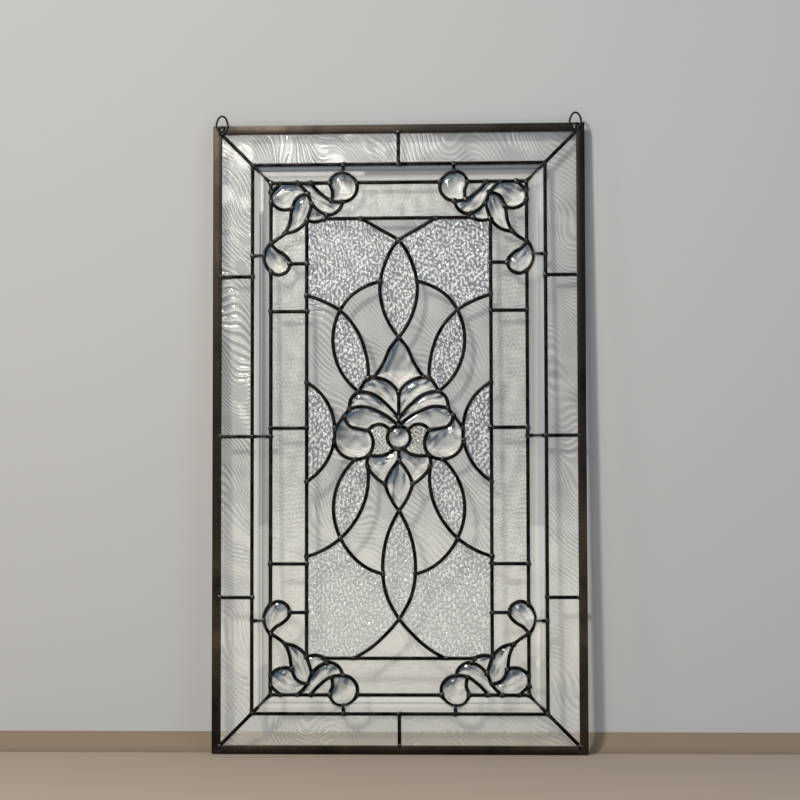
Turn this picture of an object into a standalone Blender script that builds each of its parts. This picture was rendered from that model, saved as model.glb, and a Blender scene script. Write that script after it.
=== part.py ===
"""Leaded window panel of clear bevelled glass, made to hang by two wire loops.

The panel stands upright with its face towards -Y. Its origin is midway between the two hanging loops,
at the height where a hook bears on them. Lead cames of H section hold 113 pieces of glass, and a frame
of U channel holds the cames and the outer glass. The leads are drawn as a flat plan of lines and smooth
curves; the plan is cut at its joints, walked round cell by cell, and each cell gives a pane of glass and
a hole in the cames.
"""

import math
from collections import defaultdict

import bmesh
import bpy
import numpy as np
from mathutils import Matrix

MM = 0.001

# Overall size of the framed panel, and the width of each border inside the frame's edge
PANEL_WIDTH = 520.7 * MM
PANEL_HEIGHT = 876.3 * MM
OUTER_BORDER = 43.4 * MM
BEVEL_BORDER = 26.0 * MM
INNER_BAND = 50.3 * MM

# Glass, and the gap that each piece keeps to what holds it
GLASS_THICKNESS = 3.0 * MM
FIT_GAP = 0.3 * MM
BEVEL_WIDTH = 7.5 * MM
BEVEL_EDGE = 2.0 * MM
BEVEL_MIDDLE = 4.6 * MM

# Lead came: the face that shows, the thin heart between two panes, and the lips either side of it
CAME_FACE = 4.8 * MM
CAME_HEART = 1.4 * MM
CAME_LIP = 0.9 * MM
CAME_DEPTH = GLASS_THICKNESS + 2 * FIT_GAP + 2 * CAME_LIP
LIP_BITE = 0.2 * MM

# Frame of U channel, deep enough for the cames
CHANNEL_FACE = 12.0 * MM
CHANNEL_WALL = 1.0 * MM
CHANNEL_DEPTH = CAME_DEPTH + 2 * FIT_GAP + 2 * CHANNEL_WALL

# Hanging loops of bent wire, soldered to the front of the frame's top corners
WIRE_DIAMETER = 2.5 * MM
LOOP_WIDTH = 17.5 * MM
LOOP_RISE = 15.5 * MM
LOOP_LEG = 15.0 * MM
LOOP_INSET = 12.6 * MM
LOOP_ARC_POINTS = 10

# Cross leads: the middle one measured up from the middle of the panel, the outer ones from that one,
# and those of the inner band from the middle of the panel
MIDDLE_CROSS = 1.4 * MM
OUTER_CROSS = 223.9 * MM
BAND_CROSS = 176.0 * MM
BAND_MIDDLE_CROSS = 12.8 * MM

# How closely straight stretches follow the curves, and how near two places count as one
CURVE_TOLERANCE = 1.8 * MM
CURVE_STEPS = 16
JEWEL_STEPS = 48
SAME_JOINT = 1.2 * MM
ON_LINE = 0.02 * MM
SHORTEST_SIDE = 0.02 * MM
WELD_REACH = 0.001 * MM
FLAT_ANGLE = math.radians(0.1)
PARALLEL_ANGLE = math.radians(0.006)
TURN_BACK_ANGLE = math.radians(177.5)

# Places that follow from the sizes above
HALF_WIDTH = PANEL_WIDTH / 2
HALF_HEIGHT = PANEL_HEIGHT / 2
OUTER_HALF = np.array([HALF_WIDTH, HALF_HEIGHT]) - CHANNEL_FACE - OUTER_BORDER
BEVEL_HALF = OUTER_HALF - BEVEL_BORDER
FIELD_HALF = BEVEL_HALF - INNER_BAND
SEAT_HALF = np.array([HALF_WIDTH, HALF_HEIGHT]) - CHANNEL_WALL
WIRE_PLANE = -(CHANNEL_DEPTH + WIRE_DIAMETER) / 2 - FIT_GAP
HOOK_HEIGHT = HALF_HEIGHT + LOOP_RISE - WIRE_DIAMETER

# A corner spray, drawn in millimetres for an inner band 50.3 wide. Each point is how far it lies in from
# the band's outer corner, across and down; a minus sign is out in the bevel border.
SPRAY_BAND = 50.3
SPRAY_LEADS = {
    "corner_strip": [(0, 12.3), (13.7, 0)],
    "fat_leaf_foot": [(0, 26.2), (11.4, 35.9), (20, 37.6), (29.8, 35.2)],
    "ribbon_lower": [(37, 0), (51.4, 15.1), (57.5, 29), (70, 41), (83.7, 44.8), (95.5, 38), (100.5, 26.8)],
    "ribbon_upper": [(56.4, 0), (70.3, 15.1), (84.5, 24.9), (100.5, 26.8)],
    "round_bevel": [(84.5, 24.9), (86.4, 12.3), (82.6, 0), (88.6, -11.5), (99.6, -15.1), (113, -10),
                    (120.2, 0), (119.8, 13.5), (111, 23.8), (100.5, 26.8)],
    "slim_leaf_left": [(20.3, 70), (26.6, 55), (29.8, 35.2), (36, 21.5), (51.4, 15.1)],
    "slim_leaf_right": [(57.5, 29), (53.1, 44.5), (50.3, 52), (33.7, 67.3), (20.3, 70)],
    "half_moon": [(50.3, 52), (63.7, 54.5), (74.7, 50.3), (78.5, 44)],
    "leaf_stalk": [(20.3, 70), (11.4, 77.3), (0, 84)],
    "drop": [(0, 84), (-8, 95.6), (-9.9, 106), (0, 124.5), (10, 129), (24, 122.3), (26.8, 111.5),
             (16, 98.5), (8, 94), (0, 84)],
    "drop_to_field": [(26.2, 113.5), (SPRAY_BAND, 113.5)],
}
CONNECTOR_ACROSS = (101.4, -15)
CONNECTOR_DOWN = (-9.8, 102)

# The leads on the inner band's outer edge stop at the spray's round bevel and drop, and start again past
# them; those on its inner edge start at the spray's half moon.
EDGE_STOPS = (SPRAY_LEADS["round_bevel"][2], SPRAY_LEADS["drop"][0])
OUTER_EDGE_START = {"across": SPRAY_LEADS["round_bevel"][6][0], "down": SPRAY_LEADS["drop"][3][1]}
INNER_EDGE_START = {"across": SPRAY_LEADS["half_moon"][2][0], "down": SPRAY_LEADS["half_moon"][0][1]}

# The left half of the middle field, drawn in millimetres from its centre for a half size of
# 128.65 by 306.45. It stretches with the field.
DRAWN_HALF = np.array([128.65, 306.45])
JEWEL_CENTRE = (0, -0.65)
JEWEL_RADIUS = 16.0
JEWEL_TOP = (0, JEWEL_CENTRE[1] + JEWEL_RADIUS)
JEWEL_FOOT = (0, JEWEL_CENTRE[1] - JEWEL_RADIUS)
FIELD_LEADS = {
    "upper_lens": [(53, 306.45), (22.5, 288.8), (0, 275), (-20, 240), (-26.2, 211), (-20.2, 174), (0, 139)],
    "finial": [(0, 139), (-11.5, 125), (-20.5, 105), (-28, 92.5), (-35.5, 82.8)],
    "upper_outer_arc": [(-26.8, 217.3), (-49.2, 209.3), (-67.6, 196.6), (-82, 177), (-91.5, 146),
                        (-90.3, 118), (-78, 87), (-55.5, 63.4)],
    "upper_inner_arc": [(-128.65, 198.6), (-105, 190), (-82, 177), (-58.5, 149.5), (-45.2, 113.5),
                        (-42.2, 82)],
    "side_arc": [(-128.65, 76.6), (-108, 60), (-94.2, 37), (-89.2, 8), (-94.5, -21), (-108.5, -44.5),
                 (-128.65, -61.8)],
    "lower_inner_arc": [(-128.65, -165.8), (-105, -156.5), (-81.4, -140.6), (-58.5, -113), (-44.8, -78.5),
                        (-43.6, -41)],
    "lower_outer_arc": [(-22.8, -190), (-48, -179.5), (-68, -161.5), (-81.4, -140.6), (-91, -107),
                        (-87.5, -73), (-76, -48.5), (-61, -31)],
    "lower_lens": [(0, -102.6), (-14, -131), (-22.8, -179), (-17, -220.4), (0, -252), (18.3, -273.3),
                   (37, -290.3), (64, -306.45)],
    "first_petal": [(0, 60.9), (-9.5, 73.3), (-24.5, 81.6), (-42.2, 82), (-51, 72), (-55.5, 63.4)],
    "second_petal_top": [(-55.5, 63.4), (-35.7, 59.8), (-16, 44.5), (0, 26)],
    "second_petal_end": [(-55.5, 63.4), (-64.5, 56.5), (-68.6, 39.6)],
    "third_petal_top": [(-68.6, 39.6), (-48.6, 42.4), (-27, 35), JEWEL_TOP],
    "side_drop_shoulder": [(-68.6, 39.6), (-76, 30.2), (-89.2, 11.9)],
    "third_petal_foot": [(-76, 30.2), (-68.6, 15.5), (-55, 11.4), (-42.5, 9.2)],
    "jewel_cap": [(-42.5, 9.2), (-33, 17), (-22, 16.9), (-12.5, 9.35)],
    "jewel_seat": [(-5.5, -15.7), (-17.1, -23.9), (-29, -26.3), (-42, -25)],
    "side_drop": [(-90, -6), (-80, -23.9), (-61, -31), (-42, -25), (-35.7, -8.2), (-42.5, 9.2)],
    "lower_leaf": [(-42, -25), (-44.2, -38), (-33, -55.5), (-19.3, -65.2)],
    "diamond_upper": [(0, -33), (-11, -47), (-19.3, -65.2)],
    "diamond_lower": [(-19.3, -65.2), (-11.5, -85.5), (0, -102.6)],
}
FIELD_MIDDLE_LEADS = {
    "petal_stem": [(0, 60.9), JEWEL_TOP],
    "leaf_stem": [JEWEL_FOOT, (0, -33)],
}

# One point inside each pane of the field that is a node of its own, in the field's drawn millimetres
FIELD_PANES = {
    "granite_glass_upper_lens": (0, 208),
    "granite_glass_lower_lens": (0, -180),
    "jewel_centre": (0, 0),
}
FIELD_SIDE_PANES = {
    "granite_glass_corner_upper": (-90, 250),
    "granite_glass_corner_lower": (-90, -250),
    "granite_glass_leaf_upper": (-70, 130),
    "granite_glass_leaf_lower": (-70, -100),
    "granite_glass_side": (-110, 8),
    "wavy_glass_beside_upper_lens": (-45, 180),
    "wavy_glass_beside_lower_lens": (-40, -150),
    "wavy_glass_side_upper": (-110, 130),
    "wavy_glass_side_lower": (-110, -110),
}

FINISHES = {
    "lead": ((0.045, 0.043, 0.04), 0.5, 1.0),
    "patina": ((0.035, 0.027, 0.022), 0.4, 1.0),
    "wire": ((0.06, 0.055, 0.05), 0.45, 1.0),
    "clear_glass": ((0.82, 0.87, 0.85), 0.08, 0.0),
    "granite_glass": ((0.78, 0.81, 0.79), 0.2, 0.0),
}


def corner_point(across, down, side, end):
    """Place of a spray's drawn point: side is -1 at the left and 1 at the right, end is 1 at the top."""
    unit = INNER_BAND / SPRAY_BAND
    return (side * (BEVEL_HALF[0] - across * unit), end * (BEVEL_HALF[1] - down * unit))


def field_point(x, z):
    """Place of a drawn point of the middle field, which stretches with the field."""
    return (x * FIELD_HALF[0] / DRAWN_HALF[0], z * FIELD_HALF[1] / DRAWN_HALF[1])


def smooth_curve(points):
    """Smooth curve through the points: cubic spans whose slope at a point is a chord-weighted mean."""
    points = np.asarray(points, float)
    if len(points) == 2:
        return points
    spans = np.diff(points, axis=0)
    length = np.linalg.norm(spans, axis=1)[:, None]
    chord = spans / length
    slope = np.empty_like(points)
    slope[1:-1] = (chord[:-1] * length[1:] + chord[1:] * length[:-1]) / (length[:-1] + length[1:])
    slope[0] = 2 * chord[0] - slope[1]
    slope[-1] = 2 * chord[-1] - slope[-2]
    t = np.linspace(0, 1, CURVE_STEPS, endpoint=False)[:, None]
    pieces = []
    for start, end, size, leave, arrive in zip(points[:-1], points[1:], length, slope[:-1], slope[1:]):
        pieces.append((2 * t**3 - 3 * t**2 + 1) * start + (t**3 - 2 * t**2 + t) * size * leave
                      + (3 * t**2 - 2 * t**3) * end + (t**3 - t**2) * size * arrive)
    return np.vstack(pieces + [points[-1:]])


def circle(centre, radius):
    """Closed ring of points, first point at the top."""
    turn = np.linspace(0, 2 * math.pi, JEWEL_STEPS + 1)
    ring = np.column_stack([centre[0] - radius * np.sin(turn), centre[1] + radius * np.cos(turn)])
    ring[-1] = ring[0]
    return ring


def border_leads():
    """Straight leads of the borders: rectangles, mitres and cross leads."""
    leads = []
    outer_x, outer_z = OUTER_HALF
    field_x = FIELD_HALF[0]
    for end in (1, -1):
        leads.append([(-outer_x, end * outer_z), (outer_x, end * outer_z)])
        leads.append([(0, end * outer_z), (0, end * SEAT_HALF[1])])
        for start, line in ((OUTER_EDGE_START, 0), (INNER_EDGE_START, SPRAY_BAND)):
            leads.append([corner_point(start["across"], line, -1, end),
                          corner_point(start["across"], line, 1, end)])
    for side in (-1, 1):
        leads.append([(side * outer_x, -outer_z), (side * outer_x, outer_z)])
        for start, line in ((OUTER_EDGE_START, 0), (INNER_EDGE_START, SPRAY_BAND)):
            leads.append([corner_point(line, start["down"], side, -1),
                          corner_point(line, start["down"], side, 1)])
        for height in (MIDDLE_CROSS + OUTER_CROSS, MIDDLE_CROSS, MIDDLE_CROSS - OUTER_CROSS):
            leads.append([(side * outer_x, height), (side * SEAT_HALF[0], height)])
        leads.append([(side * BEVEL_HALF[0], MIDDLE_CROSS), (side * outer_x, MIDDLE_CROSS)])
        for height in (BAND_CROSS, BAND_MIDDLE_CROSS, -BAND_CROSS):
            leads.append([(side * field_x, height), (side * BEVEL_HALF[0], height)])
    return leads


def spray_leads(side, end):
    """Leads of one corner: the spray, the mitres and the two connectors across the bevel border."""
    leads = [[corner_point(*point, side, end) for point in points] for points in SPRAY_LEADS.values()]
    band_corner = corner_point(0, 0, side, end)
    leads += [[band_corner, corner_point(*stop, side, end)] for stop in EDGE_STOPS]
    outer_corner = (side * OUTER_HALF[0], end * OUTER_HALF[1])
    leads.append([band_corner, outer_corner])
    leads.append([outer_corner, (side * SEAT_HALF[0], end * SEAT_HALF[1])])
    across = corner_point(*CONNECTOR_ACROSS, side, end)
    leads.append([across, (across[0], end * OUTER_HALF[1])])
    down = corner_point(*CONNECTOR_DOWN, side, end)
    leads.append([down, (side * OUTER_HALF[0], down[1])])
    return leads


def field_leads():
    """Leads of the middle field: the drawn half, its mirror image, and those on the centre line."""
    leads = []
    for points in FIELD_LEADS.values():
        placed = [field_point(*point) for point in points]
        leads.append(placed)
        leads.append([(-x, z) for x, z in placed])
    for points in FIELD_MIDDLE_LEADS.values():
        leads.append([field_point(*point) for point in points])
    return leads


def seat_leads():
    """Closed rectangle at the inner face of the frame channel's web, which bounds the outer panes."""
    x, z = SEAT_HALF
    corners = [(-x, -z), (x, -z), (x, z), (-x, z)]
    return [[corners[i], corners[(i + 1) % 4]] for i in range(4)]


def all_leads():
    """Every lead of the plan as its given points and its smooth line."""
    given = border_leads() + field_leads()
    for side in (-1, 1):
        for end in (-1, 1):
            given += spray_leads(side, end)
    lines = [smooth_curve(points) for points in given]
    ring = circle(JEWEL_CENTRE, JEWEL_RADIUS)
    lines.append(np.array([field_point(x, z) for x, z in ring]))
    given.append([tuple(lines[-1][0])])
    return given, lines


def nearest_on_line(point, line):
    """Nearest place on a polyline: its distance, its position along the line and the place itself."""
    start, span = line[:-1], np.diff(line, axis=0)
    square = np.maximum((span**2).sum(1), np.finfo(float).tiny)
    share = np.clip(((point - start) * span).sum(1) / square, 0, 1)
    places = start + share[:, None] * span
    distance = np.linalg.norm(places - point, axis=1)
    i = int(distance.argmin())
    return distance[i], i + share[i], places[i]


def find_joints(given, lines):
    """Joints are points given to two leads or more, and the places where a lead's end meets another.

    A lead's end is moved onto its joint, which is at most a few millimetres away.
    """
    joints = []

    def joint_near(point):
        for joint in joints:
            if math.dist(joint, point) < SAME_JOINT:
                return joint
        return None

    seen = defaultdict(int)
    for points in given:
        for point in {(round(x, 7), round(z, 7)) for x, z in points}:
            seen[point] += 1
    joints += [np.array(point) for point, count in seen.items() if count > 1]
    for number, line in enumerate(lines):
        for index in (0, -1):
            if joint_near(line[index]) is None:
                others = [nearest_on_line(line[index], other) for i, other in enumerate(lines) if i != number]
                place = min(others, key=lambda found: found[0])[2]
                joints.append(place)
                line[index] = place
            line[index] = joint_near(line[index])
    return joints


def simplify(line, tolerance):
    """Drops points of a polyline that lie within the tolerance of the chord, ends kept."""
    if len(line) < 3:
        return line
    span = line[-1] - line[0]
    reach = np.linalg.norm(span)
    if reach < WELD_REACH:
        offset = np.linalg.norm(line - line[0], axis=1)
    else:
        offset = np.abs(span[0] * (line[:, 1] - line[0, 1]) - span[1] * (line[:, 0] - line[0, 0])) / reach
    worst = int(offset.argmax())
    if offset[worst] < tolerance:
        return line[[0, -1]]
    return np.vstack([simplify(line[:worst + 1], tolerance)[:-1], simplify(line[worst:], tolerance)])


def cut_at_joints(line, joints):
    """Stretches of a lead between one joint and the next."""
    cuts = {}
    for joint in joints:
        distance, position, _ = nearest_on_line(joint, line)
        if distance < ON_LINE:
            cuts[round(position, 6)] = joint
    if math.dist(line[0], line[-1]) < WELD_REACH:
        cuts[0.0] = cuts[float(len(line) - 1)] = line[0]
    stretches = []
    order = sorted(cuts)
    for first, last in zip(order[:-1], order[1:]):
        between = line[math.floor(first) + 1:math.ceil(last)]
        stretch = np.vstack([cuts[first], between, cuts[last]])
        stretches.append(stretch)
    return stretches


def plan_stretches(tolerance):
    """The whole plan, cut at its joints, each stretch simplified; with the seat rectangle's at the end."""
    given, lines = all_leads()
    count = len(lines)
    given += seat_leads()
    lines += [smooth_curve(points) for points in seat_leads()]
    joints = find_joints(given, lines)
    leads, seat = [], []
    for number, line in enumerate(lines):
        stretches = [simplify(stretch, tolerance) for stretch in cut_at_joints(line, joints)]
        (leads if number < count else seat).extend(stretches)
    return leads, seat


def walk_faces(stretches):
    """Faces of a flat plan: each is the ring of points met by always turning hardest to the left."""
    def key(point):
        return (round(point[0] / MM, 2), round(point[1] / MM, 2))

    leaving = defaultdict(list)
    for number, line in enumerate(stretches):
        for way, points in ((0, line), (1, line[::-1])):
            heading = math.atan2(*(points[1] - points[0])[::-1])
            leaving[key(points[0])].append((heading, (number, way)))
    for joint in leaving:
        leaving[joint].sort()

    def following(half):
        number, way = half
        arrived = key(stretches[number][-1] if way == 0 else stretches[number][0])
        around = [item[1] for item in leaving[arrived]]
        return around[around.index((number, 1 - way)) - 1]

    faces, used = [], set()
    for number in range(len(stretches)):
        for way in (0, 1):
            half, ring = (number, way), []
            while half not in used:
                used.add(half)
                line = stretches[half[0]] if half[1] == 0 else stretches[half[0]][::-1]
                ring.append(line[:-1])
                half = following(half)
            if ring:
                faces.append(np.vstack(ring))
    return faces


def area(polygon):
    """Signed area of a polygon, positive when it runs counter-clockwise."""
    x, z = polygon[:, 0], polygon[:, 1]
    return 0.5 * float(np.sum(x * np.roll(z, -1) - z * np.roll(x, -1)))


def cell_rings(leads, seat):
    """Counter-clockwise rings of all the cells of the plan."""
    return [face for face in walk_faces(leads + seat) if area(face) > 0]


def network_ring(leads):
    """Counter-clockwise ring round the outside of the leads, with each free end walked up and back."""
    outside = min(walk_faces(leads), key=area)
    return outside[::-1]


def shifted_sides(polygon, shift, pull_back):
    """Sides of a polygon as numbered lines moved inwards by the shift.

    A free end, where the polygon turns straight back, gets a square side of its own.
    """
    step = np.roll(polygon, -1, axis=0) - polygon
    way = step / np.linalg.norm(step, axis=1)[:, None]
    sides = []
    for i, point in enumerate(polygon):
        if np.dot(way[i - 1], way[i]) < math.cos(TURN_BACK_ANGLE):
            across = np.array([-way[i - 1][1], way[i - 1][0]])
            sides.append((i, point - way[i - 1] * pull_back, across))
        inward = np.array([-way[i][1], way[i][0]])
        sides.append((i, point + inward * shift, way[i]))
    return sides


def side_corners(sides):
    """Corner before each side, where its line meets the line of the side before it."""
    corners = []
    for (_, before, along), (_, point, way) in zip(sides[-1:] + sides[:-1], sides):
        turn = along[0] * way[1] - along[1] * way[0]
        if abs(turn) < PARALLEL_ANGLE:
            corners.append(point)
            continue
        gap = point - before
        corners.append(before + along * (gap[0] * way[1] - gap[1] * way[0]) / turn)
    return np.array(corners)


def numbered_inset(polygon, shift, pull_back=0.0):
    """Corners of a polygon with every side moved inwards, and the number of the side after each corner.

    Sides that would turn over are left out, the one that turns over furthest first. A negative shift
    moves the sides outwards.
    """
    sides = shifted_sides(polygon, shift, pull_back)
    while len(sides) > 2:
        corners = side_corners(sides)
        span = np.roll(corners, -1, axis=0) - corners
        forward = np.array([np.dot(step, side[2]) for step, side in zip(span, sides)])
        worst = int(forward.argmin())
        if forward[worst] > SHORTEST_SIDE:
            return corners, [side[0] for side in sides]
        del sides[worst]
    raise ValueError("a cell is too small for its inset")


def inset(polygon, shift, pull_back=0.0):
    """Polygon with every side moved inwards, or outwards by a negative shift."""
    return numbered_inset(polygon, shift, pull_back)[0]


def contains(polygon, point):
    """True when the point lies inside the polygon, by counting crossings of a level ray."""
    x, z = polygon[:, 0], polygon[:, 1]
    next_x, next_z = np.roll(x, -1), np.roll(z, -1)
    spans = (z > point[1]) != (next_z > point[1])
    rise = np.where(spans, next_z - z, 1.0)
    crossing = x + (point[1] - z) * (next_x - x) / rise
    return int(np.sum(spans & (point[0] < crossing))) % 2 == 1


def border_pane_seeds():
    """Point inside each pane of the outer border, the bevel border and the long inner band.

    Those of the bevel border lie near its outer side, clear of the sprays that reach into it.
    """
    outer = OUTER_HALF + OUTER_BORDER / 2
    bevel = OUTER_HALF - BEVEL_BORDER / 4
    band = BEVEL_HALF - INNER_BAND / 2
    connector = corner_point(*CONNECTOR_DOWN, 1, 1)[1]
    seeds = {}
    for end, end_name in ((1, "top"), (-1, "bottom")):
        seeds[f"inner_band_glass_{end_name}"] = (0, end * band[1])
        seeds[f"bevel_strip_{end_name}"] = (0, end * bevel[1])
    for side, side_name in ((-1, "left"), (1, "right")):
        for end, end_name in ((1, "top"), (-1, "bottom")):
            half_end = "upper" if end > 0 else "lower"
            seeds[f"outer_border_glass_{end_name}_{side_name}"] = (side * BEVEL_HALF[0] / 2, end * outer[1])
            seeds[f"outer_border_glass_{side_name}_{half_end}_corner"] = (
                side * outer[0], end * (OUTER_CROSS + OUTER_HALF[1]) / 2)
            seeds[f"outer_border_glass_{side_name}_{half_end}"] = (side * outer[0], end * OUTER_CROSS / 2)
            x, z = corner_point(CONNECTOR_ACROSS[0] / 2, CONNECTOR_DOWN[1] / 2, side, end)
            seeds[f"bevel_strip_{end_name}_{side_name}_corner"] = (x, end * bevel[1])
            seeds[f"bevel_strip_{side_name}_{half_end}_corner"] = (side * bevel[0], z)
            seeds[f"bevel_strip_{side_name}_{half_end}"] = (side * bevel[0], end * connector / 2)
            seeds[f"inner_band_glass_{side_name}_{half_end}"] = (side * band[0], end * BAND_CROSS / 2)
    return seeds


def field_pane_seeds():
    """Point inside each pane of the middle field that is a node of its own."""
    seeds = {name: field_point(*point) for name, point in FIELD_PANES.items()}
    for name, point in FIELD_SIDE_PANES.items():
        x, z = field_point(*point)
        seeds[f"{name}_left"] = (x, z)
        seeds[f"{name}_right"] = (-x, z)
    return seeds


def sorted_cells(leads, seat):
    """Rings of the panes that are nodes of their own, by name, and the rings of the small panes."""
    rings = cell_rings(leads, seat)
    named = {}
    for name, seed in {**border_pane_seeds(), **field_pane_seeds()}.items():
        matches = [i for i, ring in enumerate(rings) if contains(ring, seed)]
        named[name] = rings.pop(matches[0])
    return named, rings


def clear_scene():
    """Removes the objects that a new file starts with."""
    for thing in list(bpy.data.objects):
        bpy.data.objects.remove(thing)


def new_collection(name):
    """Collection of the given name, linked to the scene."""
    collection = bpy.data.collections.new(name)
    bpy.context.scene.collection.children.link(collection)
    return collection


def make_material(name):
    """Material with one plain finish on its Principled shader."""
    colour, roughness, metallic = FINISHES[name]
    material = bpy.data.materials.new(name)
    material.use_nodes = True
    shader = material.node_tree.nodes["Principled BSDF"]
    shader.inputs["Base Color"].default_value = (*colour, 1.0)
    shader.inputs["Roughness"].default_value = roughness
    shader.inputs["Metallic"].default_value = metallic
    if name.endswith("glass"):
        shader.inputs["Transmission Weight"].default_value = 1.0
    return material


def mesh_from_curve(curve_object, name, material, collection):
    """Mesh object in the curve's place, its caps welded, and the curve removed."""
    bpy.context.view_layer.update()
    depsgraph = bpy.context.evaluated_depsgraph_get()
    mesh = bpy.data.meshes.new_from_object(curve_object.evaluated_get(depsgraph))
    place = curve_object.matrix_world.copy()
    bpy.data.objects.remove(curve_object)
    mesh.name = name
    work = bmesh.new()
    work.from_mesh(mesh)
    bmesh.ops.remove_doubles(work, verts=work.verts, dist=WELD_REACH)
    bmesh.ops.recalc_face_normals(work, faces=work.faces)
    work.to_mesh(mesh)
    work.free()
    mesh.materials.clear()
    mesh.materials.append(material)
    piece = bpy.data.objects.new(name, mesh)
    piece.matrix_world = place
    collection.objects.link(piece)
    bpy.context.view_layer.update()
    return piece


def flat_curve(name, outlines, thickness, collection):
    """Filled 2D curve of the outlines, extruded to the thickness about its own plane."""
    curve = bpy.data.curves.new(name, "CURVE")
    curve.dimensions = "2D"
    curve.fill_mode = "BOTH"
    curve.extrude = thickness / 2
    for outline in outlines:
        spline = curve.splines.new("POLY")
        spline.points.add(len(outline) - 1)
        for point, (x, z) in zip(spline.points, outline):
            point.co = (x, z, 0.0, 1.0)
        spline.use_cyclic_u = True
    thing = bpy.data.objects.new(name, curve)
    collection.objects.link(thing)
    return thing


def upright(depth):
    """Placement that stands a flat plan upright, its face to -Y, with its plane at the given depth."""
    panel = Matrix.Translation((0, -WIRE_PLANE + depth, -HOOK_HEIGHT))
    return panel @ Matrix.Rotation(math.pi / 2, 4, "X")


def plate(name, outlines, near, far, material, collection):
    """Flat plate of the outlines that runs from one depth behind the panel's middle plane to another."""
    curve = flat_curve(name, outlines, far - near, collection)
    curve.matrix_world = upright((near + far) / 2)
    return mesh_from_curve(curve, name, material, collection)


def union(piece, others):
    """Joins the other pieces to the first by Booleans, removes them, and merges what lies in one plane.

    The plates have too many holes for the exact solver, which leaves them open.
    """
    for other in others:
        join = piece.modifiers.new("join_" + other.name, "BOOLEAN")
        join.operation = "UNION"
        join.solver = "MANIFOLD"
        join.object = other
        bpy.context.view_layer.update()
        depsgraph = bpy.context.evaluated_depsgraph_get()
        joined = bpy.data.meshes.new_from_object(piece.evaluated_get(depsgraph))
        piece.modifiers.clear()
        piece.data = joined
        bpy.data.objects.remove(other)
    work = bmesh.new()
    work.from_mesh(piece.data)
    bmesh.ops.dissolve_limit(work, angle_limit=FLAT_ANGLE, verts=work.verts, edges=work.edges)
    work.to_mesh(piece.data)
    work.free()
    piece.data.name = piece.name
    return piece


def make_came_network(leads, pane_rings, small_rings, material, collection, cutters):
    """The soldered lead cames in one body, with the small panes as plates in their pockets.

    A heart plate has a hole for each pane that is a node of its own. The lips in front have a hole for
    every pane, and the lips behind only for the separate ones. The outer border lies outside it all.
    """
    heart = CAME_HEART / 2
    lip = CAME_FACE / 2
    ring = network_ring(leads)
    heart_outline = inset(ring, -heart, CAME_FACE)
    lip_outline = inset(ring, -lip, CAME_FACE)
    pane_hearts = [inset(cell, heart) for cell in pane_rings]
    pane_lips = [inset(cell, lip) for cell in pane_rings]
    small_lips = [inset(cell, lip) for cell in small_rings]
    inner_face = CAME_DEPTH / 2 - CAME_LIP
    outer_face = CAME_DEPTH / 2
    network = plate("came_network", [heart_outline] + pane_hearts, -inner_face - LIP_BITE,
                    inner_face + LIP_BITE, material, collection)
    front = plate("front_lips", [lip_outline] + pane_lips + small_lips, -outer_face, -inner_face,
                  material, cutters)
    back = plate("back_lips", [lip_outline] + pane_lips, inner_face, outer_face, material, cutters)
    return union(network, [front, back])


def pane_outline(ring):
    """Outline of a pane, which reaches into the cames and stops short of their hearts by the fit gap."""
    return inset(ring, CAME_HEART / 2 + FIT_GAP)


def make_flat_pane(name, ring, material, collection):
    """Pane of even thickness."""
    half = GLASS_THICKNESS / 2
    return plate(name, [pane_outline(ring)], -half, half, material, collection)


def make_bevelled_pane(name, ring, material, collection):
    """Pane with a thin edge, a raised flat middle and a sloping bevel between the two.

    The bevel is a loft from the outline to the middle's outline, which has no side where the outline's
    side is too short to reach it: such a side's slope ends in a point.
    """
    outline = pane_outline(ring)
    hidden = (CAME_FACE - CAME_HEART) / 2 - FIT_GAP
    middle, numbers = numbered_inset(outline, hidden + BEVEL_WIDTH)
    back = -GLASS_THICKNESS / 2
    work = bmesh.new()
    back_ring = [work.verts.new((x, z, back)) for x, z in outline]
    edge_ring = [work.verts.new((x, z, back + BEVEL_EDGE)) for x, z in outline]
    middle_ring = [work.verts.new((x, z, back + BEVEL_MIDDLE)) for x, z in middle]
    reached = [middle_ring[i % len(numbers)] for i in np.searchsorted(numbers, np.arange(len(outline)))]
    for i in range(len(outline)):
        j = (i + 1) % len(outline)
        work.faces.new((back_ring[i], back_ring[j], edge_ring[j], edge_ring[i]))
        slope = [edge_ring[i], edge_ring[j], reached[j], reached[i]]
        work.faces.new(list(dict.fromkeys(slope)))
    work.faces.new(middle_ring)
    work.faces.new(back_ring[::-1])
    mesh = bpy.data.meshes.new(name)
    work.to_mesh(mesh)
    work.free()
    mesh.materials.append(material)
    pane = bpy.data.objects.new(name, mesh)
    pane.matrix_world = upright(0)
    collection.objects.link(pane)
    return pane


def make_panes(pane_rings, materials, collection):
    """Every pane that is a node of its own: the bevel border's strips are bevelled, the others flat."""
    for name, ring in pane_rings.items():
        if name.startswith("bevel_strip"):
            make_bevelled_pane(name, ring, materials["clear_glass"], collection)
        else:
            kind = "granite_glass" if name.startswith("granite") else "clear_glass"
            make_flat_pane(name, ring, materials[kind], collection)


def channel_outline():
    """Section of the frame channel, open towards +X, with the middle of its web's outer face at 0."""
    half, wall, face = CHANNEL_DEPTH / 2, CHANNEL_WALL, CHANNEL_FACE
    return [(0, -half), (face, -half), (face, -half + wall), (wall, -half + wall),
            (wall, half - wall), (face, half - wall), (face, half), (0, half)]


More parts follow.
